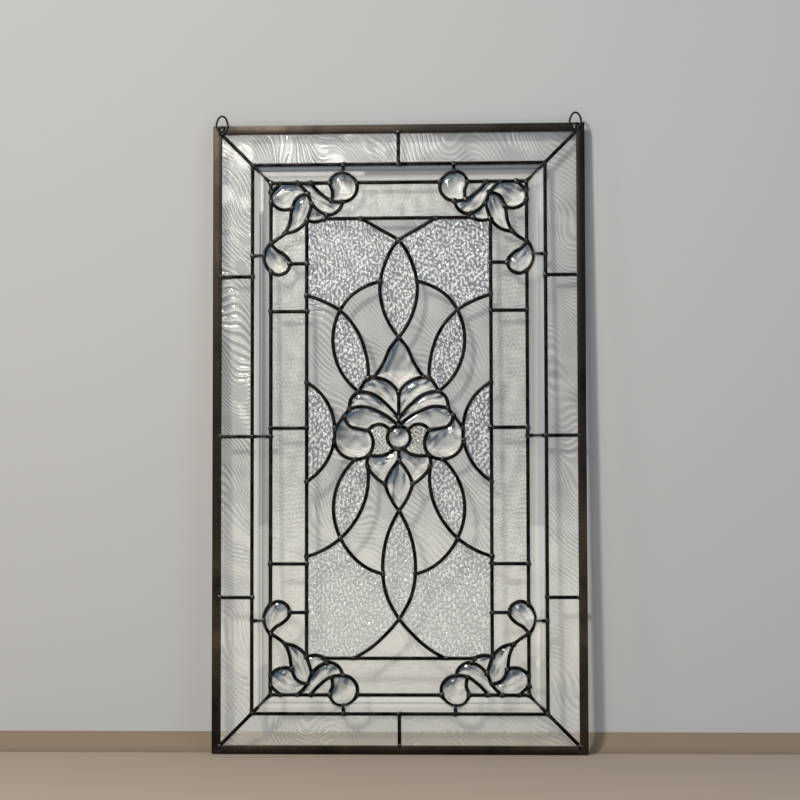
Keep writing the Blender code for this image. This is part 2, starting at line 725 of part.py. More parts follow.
def make_bar(name, length, middle, turn, material, collection):
    """Channel bar of the given length, its groove turned to face the panel's middle.

    The section lies in a plane across the bar; turn is the way the groove faces, as an angle in the
    upright plane from +X.
    """
    curve = flat_curve(name, [channel_outline()], length, collection)
    stand = Matrix.Rotation(-turn, 4, "Y")
    place = Matrix.Translation((middle[0], -WIRE_PLANE, middle[1] - HOOK_HEIGHT))
    curve.matrix_world = place @ stand
    return mesh_from_curve(curve, name, material, collection)


def make_frame(material, collection):
    """Four channel bars: the sides run the full height, and the top and bottom fit between them."""
    between = PANEL_WIDTH - 2 * (CHANNEL_FACE + FIT_GAP)
    make_bar("frame_left", PANEL_HEIGHT, (-HALF_WIDTH, 0), 0, material, collection)
    make_bar("frame_right", PANEL_HEIGHT, (HALF_WIDTH, 0), math.pi, material, collection)
    make_bar("frame_top", between, (0, HALF_HEIGHT), -math.pi / 2, material, collection)
    make_bar("frame_bottom", between, (0, -HALF_HEIGHT), math.pi / 2, material, collection)


def loop_line():
    """Middle line of a loop's wire from its lowest point: a round top on two legs that close below.

    The legs leave the round top along its tangents from the point where they meet.
    """
    radius = (LOOP_WIDTH - WIRE_DIAMETER) / 2
    centre = HALF_HEIGHT + LOOP_RISE - LOOP_WIDTH / 2
    foot = HALF_HEIGHT - LOOP_LEG + WIRE_DIAMETER / 2
    open_angle = math.acos(radius / (centre - foot))
    start, end = -math.pi / 2 + open_angle, 3 * math.pi / 2 - open_angle
    turn = np.linspace(start, end, LOOP_ARC_POINTS)
    arc = np.column_stack([radius * np.cos(turn), centre + radius * np.sin(turn)])
    half_foot = WIRE_DIAMETER / 2
    return np.vstack([[(half_foot, foot)], arc, [(-half_foot, foot)]])


def make_loop(name, side, material, collection):
    """Closed wire loop on the front of the frame's top corner."""
    curve = bpy.data.curves.new(name, "CURVE")
    curve.dimensions = "3D"
    curve.bevel_depth = WIRE_DIAMETER / 2
    curve.bevel_resolution = 2
    curve.use_fill_caps = True
    line = loop_line()
    spline = curve.splines.new("POLY")
    spline.points.add(len(line) - 1)
    for point, (x, z) in zip(spline.points, line):
        point.co = (x, 0.0, z, 1.0)
    spline.use_cyclic_u = True
    thing = bpy.data.objects.new(name, curve)
    collection.objects.link(thing)
    thing.matrix_world = Matrix.Translation((side * (HALF_WIDTH - LOOP_INSET), 0, -HOOK_HEIGHT))
    piece = mesh_from_curve(thing, name, material, collection)
    piece.data.shade_smooth()
    return piece


def main():
    """Builds the whole panel."""
    clear_scene()
    panel = new_collection("window_panel")
    cutters = new_collection("joined_plates")
    materials = {name: make_material(name) for name in FINISHES}
    leads, seat = plan_stretches(CURVE_TOLERANCE)
    pane_rings, small_rings = sorted_cells(leads, seat)
    inner_rings = [ring for name, ring in pane_rings.items() if not name.startswith("outer_border")]
    make_came_network(leads, inner_rings, small_rings, materials["lead"], panel, cutters)
    make_panes(pane_rings, materials, panel)
    make_frame(materials["patina"], panel)
    for name, side in (("hanging_loop_left", -1), ("hanging_loop_right", 1)):
        make_loop(name, side, materials["wire"], panel)


main()
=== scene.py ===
"""Looks of a leaded clear glass window panel: its glass, lead, solder, frame, loops, light and camera.

A plan place is (across, up) from the panel's middle, in metres. Depth is how far a place lies in front
of the middle plane of the glass, so the back of the panel has negative depths.
"""

import logging
import math
from collections import defaultdict
from dataclasses import dataclass, field, replace
from enum import Enum

import bmesh
import bpy
import numpy as np
from mathutils import Matrix, Vector


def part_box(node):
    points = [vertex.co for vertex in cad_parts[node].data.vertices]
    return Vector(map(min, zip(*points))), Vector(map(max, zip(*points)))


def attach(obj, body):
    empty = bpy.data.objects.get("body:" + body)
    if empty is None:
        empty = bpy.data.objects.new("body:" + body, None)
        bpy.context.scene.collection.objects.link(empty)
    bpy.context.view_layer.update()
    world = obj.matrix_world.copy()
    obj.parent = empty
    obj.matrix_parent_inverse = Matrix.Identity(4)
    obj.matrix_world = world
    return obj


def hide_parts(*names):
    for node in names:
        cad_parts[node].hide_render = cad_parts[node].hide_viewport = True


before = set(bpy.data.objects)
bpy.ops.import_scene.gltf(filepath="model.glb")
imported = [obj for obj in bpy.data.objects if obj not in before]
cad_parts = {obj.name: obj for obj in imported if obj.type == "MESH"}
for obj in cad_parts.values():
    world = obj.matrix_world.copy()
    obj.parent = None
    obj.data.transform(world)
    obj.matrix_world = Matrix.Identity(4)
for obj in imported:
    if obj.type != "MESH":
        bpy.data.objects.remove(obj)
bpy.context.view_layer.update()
LOG = logging.getLogger("window_panel")
MM = 0.001
Array = np.ndarray
Colour = tuple[float, float, float]


# Numpy tools for meshes

def new_mesh(name: str, vertices: Array, polygons: list[Array]) -> bpy.types.Mesh:
    """Puts whole arrays of corners and polygons into a mesh.

    Args:
        name: the mesh's name.
        vertices: places, one row each.
        polygons: arrays of vertex numbers, each array holding polygons of one size, one row each.

    Returns:
        The mesh, with its edges worked out.
    """
    polygons = [block for block in polygons if len(block)]
    sizes = np.concatenate([np.full(len(block), block.shape[1]) for block in polygons])
    corners = np.concatenate([block.ravel() for block in polygons])
    mesh = bpy.data.meshes.new(name)
    mesh.vertices.add(len(vertices))
    mesh.vertices.foreach_set("co", np.asarray(vertices, np.float32).ravel())
    mesh.loops.add(len(corners))
    mesh.loops.foreach_set("vertex_index", corners.astype(np.int32))
    mesh.polygons.add(len(sizes))
    mesh.polygons.foreach_set("loop_start", (np.cumsum(sizes) - sizes).astype(np.int32))
    mesh.update(calc_edges=True)
    mesh.validate()
    return mesh


def grid_quads(rows: int, columns: int, closed_rows: bool = False, closed_columns: bool = False) -> Array:
    """Numbers the quads of a grid whose vertices run column by column within each row.

    Args:
        rows: how many rows of vertices there are.
        columns: how many vertices are in a row.
        closed_rows: whether the last row joins the first.
        closed_columns: whether the end of each row joins its start.

    Returns:
        One row of four vertex numbers for each quad.
    """
    row = np.arange(rows if closed_rows else rows - 1)[:, None]
    column = np.arange(columns if closed_columns else columns - 1)[None, :]
    after_row, after_column = (row + 1) % rows, (column + 1) % columns
    quads = [row * columns + column, row * columns + after_column,
             after_row * columns + after_column, after_row * columns + column]
    return np.stack(quads, axis=-1).reshape(-1, 4)


def bar_polygons(stations: int, corners: int) -> list[Array]:
    """Numbers the polygons of a closed section carried through stations, with a cap at each end.

    Args:
        stations: how many places the section is carried through.
        corners: how many corners the section has.

    Returns:
        The blocks of sides, first cap and last cap.
    """
    first = np.arange(corners)
    last = first[::-1] + (stations - 1) * corners
    return [grid_quads(stations, corners, closed_columns=True), first[None, :], last[None, :]]


def turn_faces_out(mesh: bpy.types.Mesh) -> None:
    """Turns the faces of closed shells outwards.

    Args:
        mesh: the mesh of one shell or more.
    """
    work = bmesh.new()
    work.from_mesh(mesh)
    bmesh.ops.recalc_face_normals(work, faces=work.faces)
    work.to_mesh(mesh)
    work.free()


def read_places(items: bpy.types.bpy_prop_collection, title: str) -> Array:
    """Reads the places of a mesh's vertices or faces.

    Args:
        items: the mesh's vertices or polygons.
        title: "co" for vertices and "center" for polygons.

    Returns:
        One row for each.
    """
    places = np.empty(len(items) * 3, np.float32)
    items.foreach_get(title, places)
    return places.reshape(-1, 3).astype(float)


def joined(shells: list[tuple[Array, list[Array]]]) -> tuple[Array, list[Array]]:
    """Puts several shells into one set of arrays.

    Args:
        shells: the vertices and polygon blocks of each shell.

    Returns:
        All vertices in one array, and all polygon blocks with their numbers moved on.
    """
    vertices, polygons, count = [], [], 0
    for places, blocks in shells:
        vertices.append(places)
        polygons += [block + count for block in blocks]
        count += len(places)
    return np.vstack(vertices), polygons


def smooth_curve(points: Array, steps: int) -> Array:
    """Draws a smooth curve through points.

    Each span is a cubic whose slope at a point is the mean of the two chords there, each weighted by the
    length of the other.

    Args:
        points: given places, one row each.
        steps: how many pieces each span is cut into.

    Returns:
        The points of the curve, the given ones among them.
    """
    points = np.asarray(points, float)
    if len(points) == 2:
        return points
    spans = np.diff(points, axis=0)
    length = np.linalg.norm(spans, axis=1)[:, None]
    chord = spans / length
    slope = np.empty_like(points)
    slope[1:-1] = (chord[:-1] * length[1:] + chord[1:] * length[:-1]) / (length[:-1] + length[1:])
    slope[0] = 2 * chord[0] - slope[1]
    slope[-1] = 2 * chord[-1] - slope[-2]
    t = np.linspace(0, 1, steps, endpoint=False)[None, :, None]
    start, end, size = points[:-1, None], points[1:, None], length[:, None]
    leave, arrive = slope[:-1, None], slope[1:, None]
    curve = ((2 * t**3 - 3 * t**2 + 1) * start + (t**3 - 2 * t**2 + t) * size * leave
             + (3 * t**2 - 2 * t**3) * end + (t**3 - t**2) * size * arrive)
    return np.vstack([curve.reshape(-1, 2), points[-1:]])


def rounded_ring(corners: Array, radius: float, steps: int) -> Array:
    """Rounds the corners of a closed outline.

    Each corner becomes a parabola that leaves its two sides one radius away from it.

    Args:
        corners: the outline's corners in order.
        radius: distance from a corner at which the rounding starts.
        steps: points on each rounded corner.

    Returns:
        The points of the rounded outline.
    """
    corners = np.asarray(corners, float)
    after = np.roll(corners, -1, axis=0) - corners
    after /= np.linalg.norm(after, axis=1)[:, None]
    before = np.roll(after, 1, axis=0)
    start, end = corners - before * radius, corners + after * radius
    t = np.linspace(0, 1, steps)[None, :, None]
    ring = (1 - t)**2 * start[:, None] + 2 * t * (1 - t) * corners[:, None] + t**2 * end[:, None]
    return ring.reshape(-1, 2)


def path_sides(path: Array, closed: bool) -> Array:
    """Finds the mitred side direction at each point of a path: half way between its two spans' normals.

    Args:
        path: plan places of the path.
        closed: whether the last point joins the first.

    Returns:
        One vector a point, to the left of the path, lengthened so that swept sides stay parallel.
    """
    way = np.roll(path, -1, axis=0) - path
    way /= np.maximum(np.linalg.norm(way, axis=1), np.finfo(float).tiny)[:, None]
    before = np.roll(way, 1, axis=0)
    if not closed:
        way[-1] = way[-2]
        before[0] = way[0]
    normal = np.column_stack([-way[:, 1], way[:, 0]])
    mean = normal + np.column_stack([-before[:, 1], before[:, 0]])
    mean /= np.linalg.norm(mean, axis=1)[:, None]
    return mean / np.maximum((mean * normal).sum(1), 0.5)[:, None]


@dataclass(frozen=True)
class Waves:
    """Smooth, even noise: sine waves of random heading, length and start, added up.

    The shortest and the longest wave are measured across. Upwards the waves are longer by the stretch.
    """

    seed: int
    shortest: float
    longest: float
    stretch: float = 1.0
    count: int = 14

    def at(self, across: Array, up: Array) -> Array:
        """Works out the noise.

        Args:
            across: plan places across.
            up: plan places up.

        Returns:
            Noise of mean 0 and spread 1 at each place.
        """
        draw = np.random.default_rng(self.seed)
        heading = draw.uniform(0, math.pi, self.count)
        number = 2 * math.pi / draw.uniform(self.shortest, self.longest, self.count)
        start = draw.uniform(0, 2 * math.pi, self.count)
        total = np.zeros(np.broadcast(across, up).shape)
        for angle, rate, begin in zip(heading, number, start):
            total += np.sin(rate * (math.cos(angle) * across + math.sin(angle) * up / self.stretch) + begin)
        return total * math.sqrt(2 / self.count)


def smooth_step(value: Array, low: float, high: float) -> Array:
    """Rises smoothly from 0 at low to 1 at high."""
    share = np.clip((value - low) / (high - low), 0, 1)
    return share * share * (3 - 2 * share)


# Sizes and places

@dataclass(frozen=True)
class PanelSizes:
    """Sizes of the panel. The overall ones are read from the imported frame's channel bars."""

    half_width: float
    half_height: float
    middle_y: float
    middle_z: float
    channel_face: float
    channel_depth: float
    channel_wall: float = 1.0 * MM
    outer_border: float = 43.4 * MM
    bevel_border: float = 26.0 * MM
    inner_band: float = 50.3 * MM
    glass_thickness: float = 3.0 * MM
    fit_gap: float = 0.3 * MM
    came_face: float = 4.8 * MM
    came_heart: float = 1.4 * MM
    came_lip: float = 0.9 * MM

    @classmethod
    def from_frame(cls) -> "PanelSizes":
        """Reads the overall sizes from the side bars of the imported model.

        Returns:
            The panel's sizes.
        """
        low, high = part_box("frame_left")
        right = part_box("frame_right")[1]
        return cls(half_width=right.x, half_height=(high.z - low.z) / 2, middle_y=(low.y + high.y) / 2,
                   middle_z=(low.z + high.z) / 2, channel_face=high.x - low.x, channel_depth=high.y - low.y)

    @property
    def half(self) -> Array:
        """Half of the framed panel, across and up."""
        return np.array([self.half_width, self.half_height])

    @property
    def outer_half(self) -> Array:
        """Half size of the rectangle between the outer border and the bevel border."""
        return self.half - self.channel_face - self.outer_border

    @property
    def bevel_half(self) -> Array:
        """Half size of the rectangle between the bevel border and the inner band."""
        return self.outer_half - self.bevel_border

    @property
    def field_half(self) -> Array:
        """Half size of the middle field."""
        return self.bevel_half - self.inner_band

    @property
    def seat_half(self) -> Array:
        """Half size of the rectangle at the inside of the channel's web."""
        return self.half - self.channel_wall

    @property
    def came_half_depth(self) -> float:
        """Distance from the middle plane to the face of a came."""
        return self.glass_thickness / 2 + self.fit_gap + self.came_lip

    @property
    def foot_z(self) -> float:
        """Height of the panel's underside."""
        return self.middle_z - self.half_height

    def place(self, plan: Array, depth: Array) -> Array:
        """Puts plan places at a depth into the model's own axes."""
        depth = np.broadcast_to(depth, plan.shape[:-1])
        return np.stack([plan[..., 0], self.middle_y - depth, self.middle_z + plan[..., 1]], axis=-1)


class GlassKind(Enum):
    """Kinds of clear glass in the panel."""

    WAVY = "wavy"
    GRANITE = "granite"
    FINE_GRAIN = "fine_grain"
    SEEDY = "seedy"
    BEVEL = "bevel"


# The leads, drawn as in the model of the solids: a corner spray for an inner band 50.3 mm wide, each
# point given as how far it lies in from the band's outer corner, across and down
SPRAY_BAND = 50.3
SPRAY_LEADS = {
    "corner_strip": [(0, 12.3), (13.7, 0)],
    "fat_leaf_foot": [(0, 26.2), (11.4, 35.9), (20, 37.6), (29.8, 35.2)],
    "ribbon_lower": [(37, 0), (51.4, 15.1), (57.5, 29), (70, 41), (83.7, 44.8), (95.5, 38), (100.5, 26.8)],
    "ribbon_upper": [(56.4, 0), (70.3, 15.1), (84.5, 24.9), (100.5, 26.8)],
    "round_bevel": [(84.5, 24.9), (86.4, 12.3), (82.6, 0), (88.6, -11.5), (99.6, -15.1), (113, -10),
                    (120.2, 0), (119.8, 13.5), (111, 23.8), (100.5, 26.8)],
    "slim_leaf_left": [(20.3, 70), (26.6, 55), (29.8, 35.2), (36, 21.5), (51.4, 15.1)],
    "slim_leaf_right": [(57.5, 29), (53.1, 44.5), (50.3, 52), (33.7, 67.3), (20.3, 70)],
    "half_moon": [(50.3, 52), (63.7, 54.5), (74.7, 50.3), (78.5, 44)],
    "leaf_stalk": [(20.3, 70), (11.4, 77.3), (0, 84)],
    "drop": [(0, 84), (-8, 95.6), (-9.9, 106), (0, 124.5), (10, 129), (24, 122.3), (26.8, 111.5),
             (16, 98.5), (8, 94), (0, 84)],
    "drop_to_field": [(26.2, 113.5), (SPRAY_BAND, 113.5)],
}
CONNECTOR_ACROSS = (101.4, -15)
CONNECTOR_DOWN = (-9.8, 102)
EDGE_STOPS = (SPRAY_LEADS["round_bevel"][2], SPRAY_LEADS["drop"][0])
OUTER_EDGE_START = {"across": SPRAY_LEADS["round_bevel"][6][0], "down": SPRAY_LEADS["drop"][3][1]}
INNER_EDGE_START = {"across": SPRAY_LEADS["half_moon"][2][0], "down": SPRAY_LEADS["half_moon"][0][1]}

# Cross leads in millimetres: the middle one up from the panel's middle, the outer ones from that one, and
# those of the inner band from the panel's middle
MIDDLE_CROSS = 1.4
OUTER_CROSS = 223.9
BAND_CROSS = 176.0
BAND_MIDDLE_CROSS = 12.8

# The left half of the middle field, in millimetres from its centre for this half size
DRAWN_HALF = np.array([128.65, 306.45])
JEWEL_CENTRE = (0, -0.65)
JEWEL_RADIUS = 16.0
JEWEL_TOP = (0, JEWEL_CENTRE[1] + JEWEL_RADIUS)
JEWEL_FOOT = (0, JEWEL_CENTRE[1] - JEWEL_RADIUS)
FIELD_LEADS = {
    "upper_lens": [(53, 306.45), (22.5, 288.8), (0, 275), (-20, 240), (-26.2, 211), (-20.2, 174), (0, 139)],
    "finial": [(0, 139), (-11.5, 125), (-20.5, 105), (-28, 92.5), (-35.5, 82.8)],
    "upper_outer_arc": [(-26.8, 217.3), (-49.2, 209.3), (-67.6, 196.6), (-82, 177), (-91.5, 146),
                        (-90.3, 118), (-78, 87), (-55.5, 63.4)],
    "upper_inner_arc": [(-128.65, 198.6), (-105, 190), (-82, 177), (-58.5, 149.5), (-45.2, 113.5),
                        (-42.2, 82)],
    "side_arc": [(-128.65, 76.6), (-108, 60), (-94.2, 37), (-89.2, 8), (-94.5, -21), (-108.5, -44.5),
                 (-128.65, -61.8)],
    "lower_inner_arc": [(-128.65, -165.8), (-105, -156.5), (-81.4, -140.6), (-58.5, -113), (-44.8, -78.5),
                        (-43.6, -41)],
    "lower_outer_arc": [(-22.8, -190), (-48, -179.5), (-68, -161.5), (-81.4, -140.6), (-91, -107),
                        (-87.5, -73), (-76, -48.5), (-61, -31)],
    "lower_lens": [(0, -102.6), (-14, -131), (-22.8, -179), (-17, -220.4), (0, -252), (18.3, -273.3),
                   (37, -290.3), (64, -306.45)],
    "first_petal": [(0, 60.9), (-9.5, 73.3), (-24.5, 81.6), (-42.2, 82), (-51, 72), (-55.5, 63.4)],
    "second_petal_top": [(-55.5, 63.4), (-35.7, 59.8), (-16, 44.5), (0, 26)],
    "second_petal_end": [(-55.5, 63.4), (-64.5, 56.5), (-68.6, 39.6)],
    "third_petal_top": [(-68.6, 39.6), (-48.6, 42.4), (-27, 35), JEWEL_TOP],
    "side_drop_shoulder": [(-68.6, 39.6), (-76, 30.2), (-89.2, 11.9)],
    "third_petal_foot": [(-76, 30.2), (-68.6, 15.5), (-55, 11.4), (-42.5, 9.2)],
    "jewel_cap": [(-42.5, 9.2), (-33, 17), (-22, 16.9), (-12.5, 9.35)],
    "jewel_seat": [(-5.5, -15.7), (-17.1, -23.9), (-29, -26.3), (-42, -25)],
    "side_drop": [(-90, -6), (-80, -23.9), (-61, -31), (-42, -25), (-35.7, -8.2), (-42.5, 9.2)],
    "lower_leaf": [(-42, -25), (-44.2, -38), (-33, -55.5), (-19.3, -65.2)],
    "diamond_upper": [(0, -33), (-11, -47), (-19.3, -65.2)],
    "diamond_lower": [(-19.3, -65.2), (-11.5, -85.5), (0, -102.6)],
}
FIELD_MIDDLE_LEADS = {
    "petal_stem": [(0, 60.9), JEWEL_TOP],
    "leaf_stem": [JEWEL_FOOT, (0, -33)],
}

# Small panes that share a solid with the cames: a drawn point inside each, and its kind of glass
SPRAY_PANES = {
    "corner_filler": ((4, 4), GlassKind.FINE_GRAIN),
    "fat_leaf": ((18, 22), GlassKind.BEVEL),
    "ribbon": ((78, 32), GlassKind.BEVEL),
    "ribbon_filler": ((76, 8), GlassKind.FINE_GRAIN),
    "round_bevel": ((102, 5), GlassKind.BEVEL),
    "slim_leaf": ((40, 45), GlassKind.BEVEL),
    "half_moon": ((62, 47), GlassKind.BEVEL),
    "stalk_filler": ((10, 55), GlassKind.FINE_GRAIN),
    "drop": ((8, 112), GlassKind.BEVEL),
}
FIELD_PANES = {
    "upper_fan": ((0, 295), GlassKind.WAVY),
    "lower_fan": ((0, -295), GlassKind.WAVY),
    "finial": ((0, 105), GlassKind.BEVEL),
    "diamond": ((0, -65), GlassKind.BEVEL),
}
FIELD_SIDE_PANES = {
    "first_petal": ((-35, 72), GlassKind.BEVEL),
    "second_petal": ((-40, 50), GlassKind.BEVEL),
    "third_petal": ((-50, 27), GlassKind.BEVEL),
    "side_drop": ((-70, 0), GlassKind.BEVEL),
    "seedy_cheek": ((-30, -5), GlassKind.SEEDY),
    "lower_leaf": ((-28, -42), GlassKind.BEVEL),
}
END_NAMES = {1: "upper", -1: "lower"}
SIDE_NAMES = {-1: "left", 1: "right"}


@dataclass
class LeadPlan:
    """The flat plan of the leads, cut at its joints and walked round into cells of glass."""

    sizes: PanelSizes
    curve_steps: int = 14
    jewel_steps: int = 56
    tolerance: float = 0.06 * MM
    same_joint: float = 1.2 * MM
    on_line: float = 0.02 * MM
    stretches: list[Array] = field(default_factory=list)
    seat: list[Array] = field(default_factory=list)

    def __post_init__(self) -> None:
        """Draws the plan and cuts it into stretches."""
        given, lines = self.all_leads()
        count = len(lines)
        seat_corners = self.sizes.seat_half * np.array([(-1, -1), (1, -1), (1, 1), (-1, 1)])
        seat_sides = [np.array([seat_corners[i - 1], seat_corners[i]]) for i in range(4)]
        given += seat_sides
        lines += [side.copy() for side in seat_sides]
        joints = self.find_joints(given, lines)
        for number, line in enumerate(lines):
            pieces = [self.simplify(piece) for piece in self.cut_at_joints(line, joints)]
            (self.stretches if number < count else self.seat).extend(pieces)

    def corner_point(self, across: float, down: float, side: int, end: int) -> tuple[float, float]:
        """Places a drawn point of a corner spray.

        Args:
            across: how far it lies in from the band's outer corner, in drawn millimetres.
            down: how far it lies down, or up in a lower corner.
            side: -1 at the left and 1 at the right.
            end: 1 at the top and -1 at the bottom.

        Returns:
            The plan place.
        """
        unit = self.sizes.inner_band / SPRAY_BAND
        edge = self.sizes.bevel_half
        return (side * (edge[0] - across * unit), end * (edge[1] - down * unit))

    def field_point(self, across: float, up: float) -> tuple[float, float]:
        """Places a drawn point of the middle field."""
        unit = self.sizes.field_half / DRAWN_HALF
        return (across * unit[0], up * unit[1])

    def border_leads(self) -> list[list[tuple[float, float]]]:
        """Lists the straight leads of the borders.

        Returns:
            The given points of each lead.
        """
        outer_x, outer_z = self.sizes.outer_half
        seat_x, seat_z = self.sizes.seat_half
        band_x, field_x = self.sizes.bevel_half[0], self.sizes.field_half[0]
        edges = ((OUTER_EDGE_START, 0), (INNER_EDGE_START, SPRAY_BAND))
        middle, outer = MIDDLE_CROSS * MM, OUTER_CROSS * MM
        leads = []
        for end in (1, -1):
            leads.append([(-outer_x, end * outer_z), (outer_x, end * outer_z)])
            leads.append([(0, end * outer_z), (0, end * seat_z)])
            leads += [[self.corner_point(start["across"], line, side, end) for side in (-1, 1)]
                      for start, line in edges]
        for side in (-1, 1):
            leads.append([(side * outer_x, -outer_z), (side * outer_x, outer_z)])
            leads += [[self.corner_point(line, start["down"], side, end) for end in (-1, 1)]
                      for start, line in edges]
            leads += [[(side * outer_x, height), (side * seat_x, height)]
                      for height in (middle + outer, middle, middle - outer)]
            leads.append([(side * band_x, middle), (side * outer_x, middle)])
            leads += [[(side * field_x, height * MM), (side * band_x, height * MM)]
                      for height in (BAND_CROSS, BAND_MIDDLE_CROSS, -BAND_CROSS)]
        return leads

    def spray_leads(self, side: int, end: int) -> list[list[tuple[float, float]]]:
        """Lists one corner's leads: the spray, the mitres and the connectors across the bevel border.

        Args:
            side: -1 at the left and 1 at the right.
            end: 1 at the top and -1 at the bottom.

        Returns:
            The given points of each lead.
        """
        leads = [[self.corner_point(*point, side, end) for point in points]
                 for points in SPRAY_LEADS.values()]
        band_corner = self.corner_point(0, 0, side, end)
        leads += [[band_corner, self.corner_point(*stop, side, end)] for stop in EDGE_STOPS]
        outer_corner = tuple(self.sizes.outer_half * (side, end))
        leads.append([band_corner, outer_corner])
        leads.append([outer_corner, tuple(self.sizes.seat_half * (side, end))])
        across = self.corner_point(*CONNECTOR_ACROSS, side, end)
        leads.append([across, (across[0], outer_corner[1])])
        down = self.corner_point(*CONNECTOR_DOWN, side, end)
        leads.append([down, (outer_corner[0], down[1])])
        return leads

    def field_leads(self) -> list[list[tuple[float, float]]]:
        """Lists the middle field's leads: the drawn half, its mirror image and the centre line's.

        Returns:
            The given points of each lead.
        """
        halves = [[self.field_point(*point) for point in points] for points in FIELD_LEADS.values()]
        mirrored = [[(-across, up) for across, up in points] for points in halves]
        middle = [[self.field_point(*point) for point in points] for points in FIELD_MIDDLE_LEADS.values()]
        return halves + mirrored + middle

    def all_leads(self) -> tuple[list, list[Array]]:
        """Draws every lead.

        Returns:
            The given points of each lead, and its smooth line.
        """
        given = self.border_leads() + self.field_leads()
        for side in SIDE_NAMES:
            for end in END_NAMES:
                given += self.spray_leads(side, end)
        lines = [smooth_curve(np.array(points), self.curve_steps) for points in given]
        turn = np.linspace(0, 2 * math.pi, self.jewel_steps + 1)
        ring = np.column_stack([JEWEL_CENTRE[0] - JEWEL_RADIUS * np.sin(turn),
                                JEWEL_CENTRE[1] + JEWEL_RADIUS * np.cos(turn)])
        ring[-1] = ring[0]
        lines.append(ring * (self.sizes.field_half / DRAWN_HALF))
        given.append([tuple(lines[-1][0])])
        return given, lines

    @staticmethod
    def nearest_on_line(point: Array, line: Array) -> tuple[float, float, Array]:
        """Finds the place on a line nearest to a point.

        Args:
            point: the plan place.
            line: the line's points.

        Returns:
            The distance, the position along the line counted in its points, and the place.
        """
        start, span = line[:-1], np.diff(line, axis=0)
        square = np.maximum((span**2).sum(1), np.finfo(float).tiny)
        share = np.clip(((point - start) * span).sum(1) / square, 0, 1)
        places = start + share[:, None] * span
        distance = np.linalg.norm(places - point, axis=1)
        nearest = int(distance.argmin())
        return float(distance[nearest]), nearest + float(share[nearest]), places[nearest]

    def find_joints(self, given: list, lines: list[Array]) -> list[Array]:
        """Finds the joints and moves the leads' ends onto them.

        Joints are points given to two leads or more, and the places where a lead's end meets another.

        Args:
            given: the given points of each lead.
            lines: the smooth lines, whose end points are changed.

        Returns:
            The joints' places.
        """
        seen = defaultdict(int)
        for points in given:
            for point in {(round(float(x), 7), round(float(z), 7)) for x, z in points}:
                seen[point] += 1
        joints = [np.array(point) for point, count in seen.items() if count > 1]
        for number, line in enumerate(lines):
            for index in (0, -1):
                gaps = np.linalg.norm(np.array(joints) - line[index], axis=1)
                if gaps.min() >= self.same_joint:
                    others = [self.nearest_on_line(line[index], other)
                              for i, other in enumerate(lines) if i != number]
                    joints.append(min(others, key=lambda found: found[0])[2])
                    line[index] = joints[-1]
                else:
                    line[index] = joints[int(gaps.argmin())]
        return joints

    def simplify(self, line: Array) -> Array:
        """Drops points that lie within the tolerance of the chord, again and again on each half.

        Args:
            line: the line's points.

        Returns:
            The points that are kept.
        """
        if len(line) < 3:
            return line
        span = line[-1] - line[0]
        reach = float(np.linalg.norm(span))
        if reach < self.on_line:
            offset = np.linalg.norm(line - line[0], axis=1)
        else:
            across, up = (line - line[0]).T
            offset = np.abs(span[0] * up - span[1] * across) / reach
        worst = int(offset.argmax())
        if offset[worst] < self.tolerance:
            return line[[0, -1]]
        return np.vstack([self.simplify(line[:worst + 1])[:-1], self.simplify(line[worst:])])

    def cut_at_joints(self, line: Array, joints: list[Array]) -> list[Array]:
        """Cuts a line at its joints.

        Args:
            line: the line's points.
            joints: all joints of the plan.

        Returns:
            The stretches from each joint on the line to the next.
        """
        cuts = {}
        for joint in joints:
            distance, position, _ = self.nearest_on_line(joint, line)
            if distance < self.on_line:
                cuts[round(position, 6)] = joint
        if math.dist(line[0], line[-1]) < self.on_line:
            cuts[0.0] = cuts[float(len(line) - 1)] = line[0]
        order = sorted(cuts)
        return [np.vstack([cuts[first], line[math.floor(first) + 1:math.ceil(last)], cuts[last]])
                for first, last in zip(order[:-1], order[1:])]

    def cells(self) -> list[Array]:
        """Walks round the plan and collects its cells.

        From each end of a stretch the walk goes on along the stretch that turns hardest to the left.

        Returns:
            The counter-clockwise ring of each cell.
        """
        lines = self.stretches + self.seat
        leaving = defaultdict(list)
        for number, line in enumerate(lines):
            for way, points in ((0, line), (1, line[::-1])):
                heading = math.atan2(*(points[1] - points[0])[::-1])
                leaving[self.joint_key(points[0])].append((heading, (number, way)))
        for around in leaving.values():
            around.sort()
        rings, used = [], set()
        for number in range(len(lines)):
            for way in (0, 1):
                half, ring = (number, way), []
                while half not in used:
                    used.add(half)
                    line = lines[half[0]] if half[1] == 0 else lines[half[0]][::-1]
                    ring.append(line[:-1])
                    around = [item[1] for item in leaving[self.joint_key(line[-1])]]
                    half = around[around.index((half[0], 1 - half[1])) - 1]
                if ring and ring_area(np.vstack(ring)) > 0:
                    rings.append(np.vstack(ring))
        return rings

    @staticmethod
    def joint_key(point: Array) -> tuple[float, float]:
        """Names a joint by its place to a hundredth of a millimetre."""
        return (round(point[0] / MM, 2), round(point[1] / MM, 2))

    def joints(self) -> tuple[Array, Array]:
        """Sorts the joints into those in the open and those on the frame.

        Returns:
            The places of the joints between leads, and the places where leads run into the frame.
        """
        ends = np.vstack([line[[0, -1]] for line in self.stretches])
        places = np.array(sorted({self.joint_key(point) for point in ends})) * MM
        on_frame = (np.abs(places) > self.sizes.half - self.sizes.channel_face).any(axis=1)
        return places[~on_frame], places[on_frame]


def ring_area(ring: Array) -> float:
    """Works out the signed area of a ring, positive when it runs counter-clockwise."""
    x, z = ring[:, 0], ring[:, 1]
    return 0.5 * float(np.sum(x * np.roll(z, -1) - z * np.roll(x, -1)))


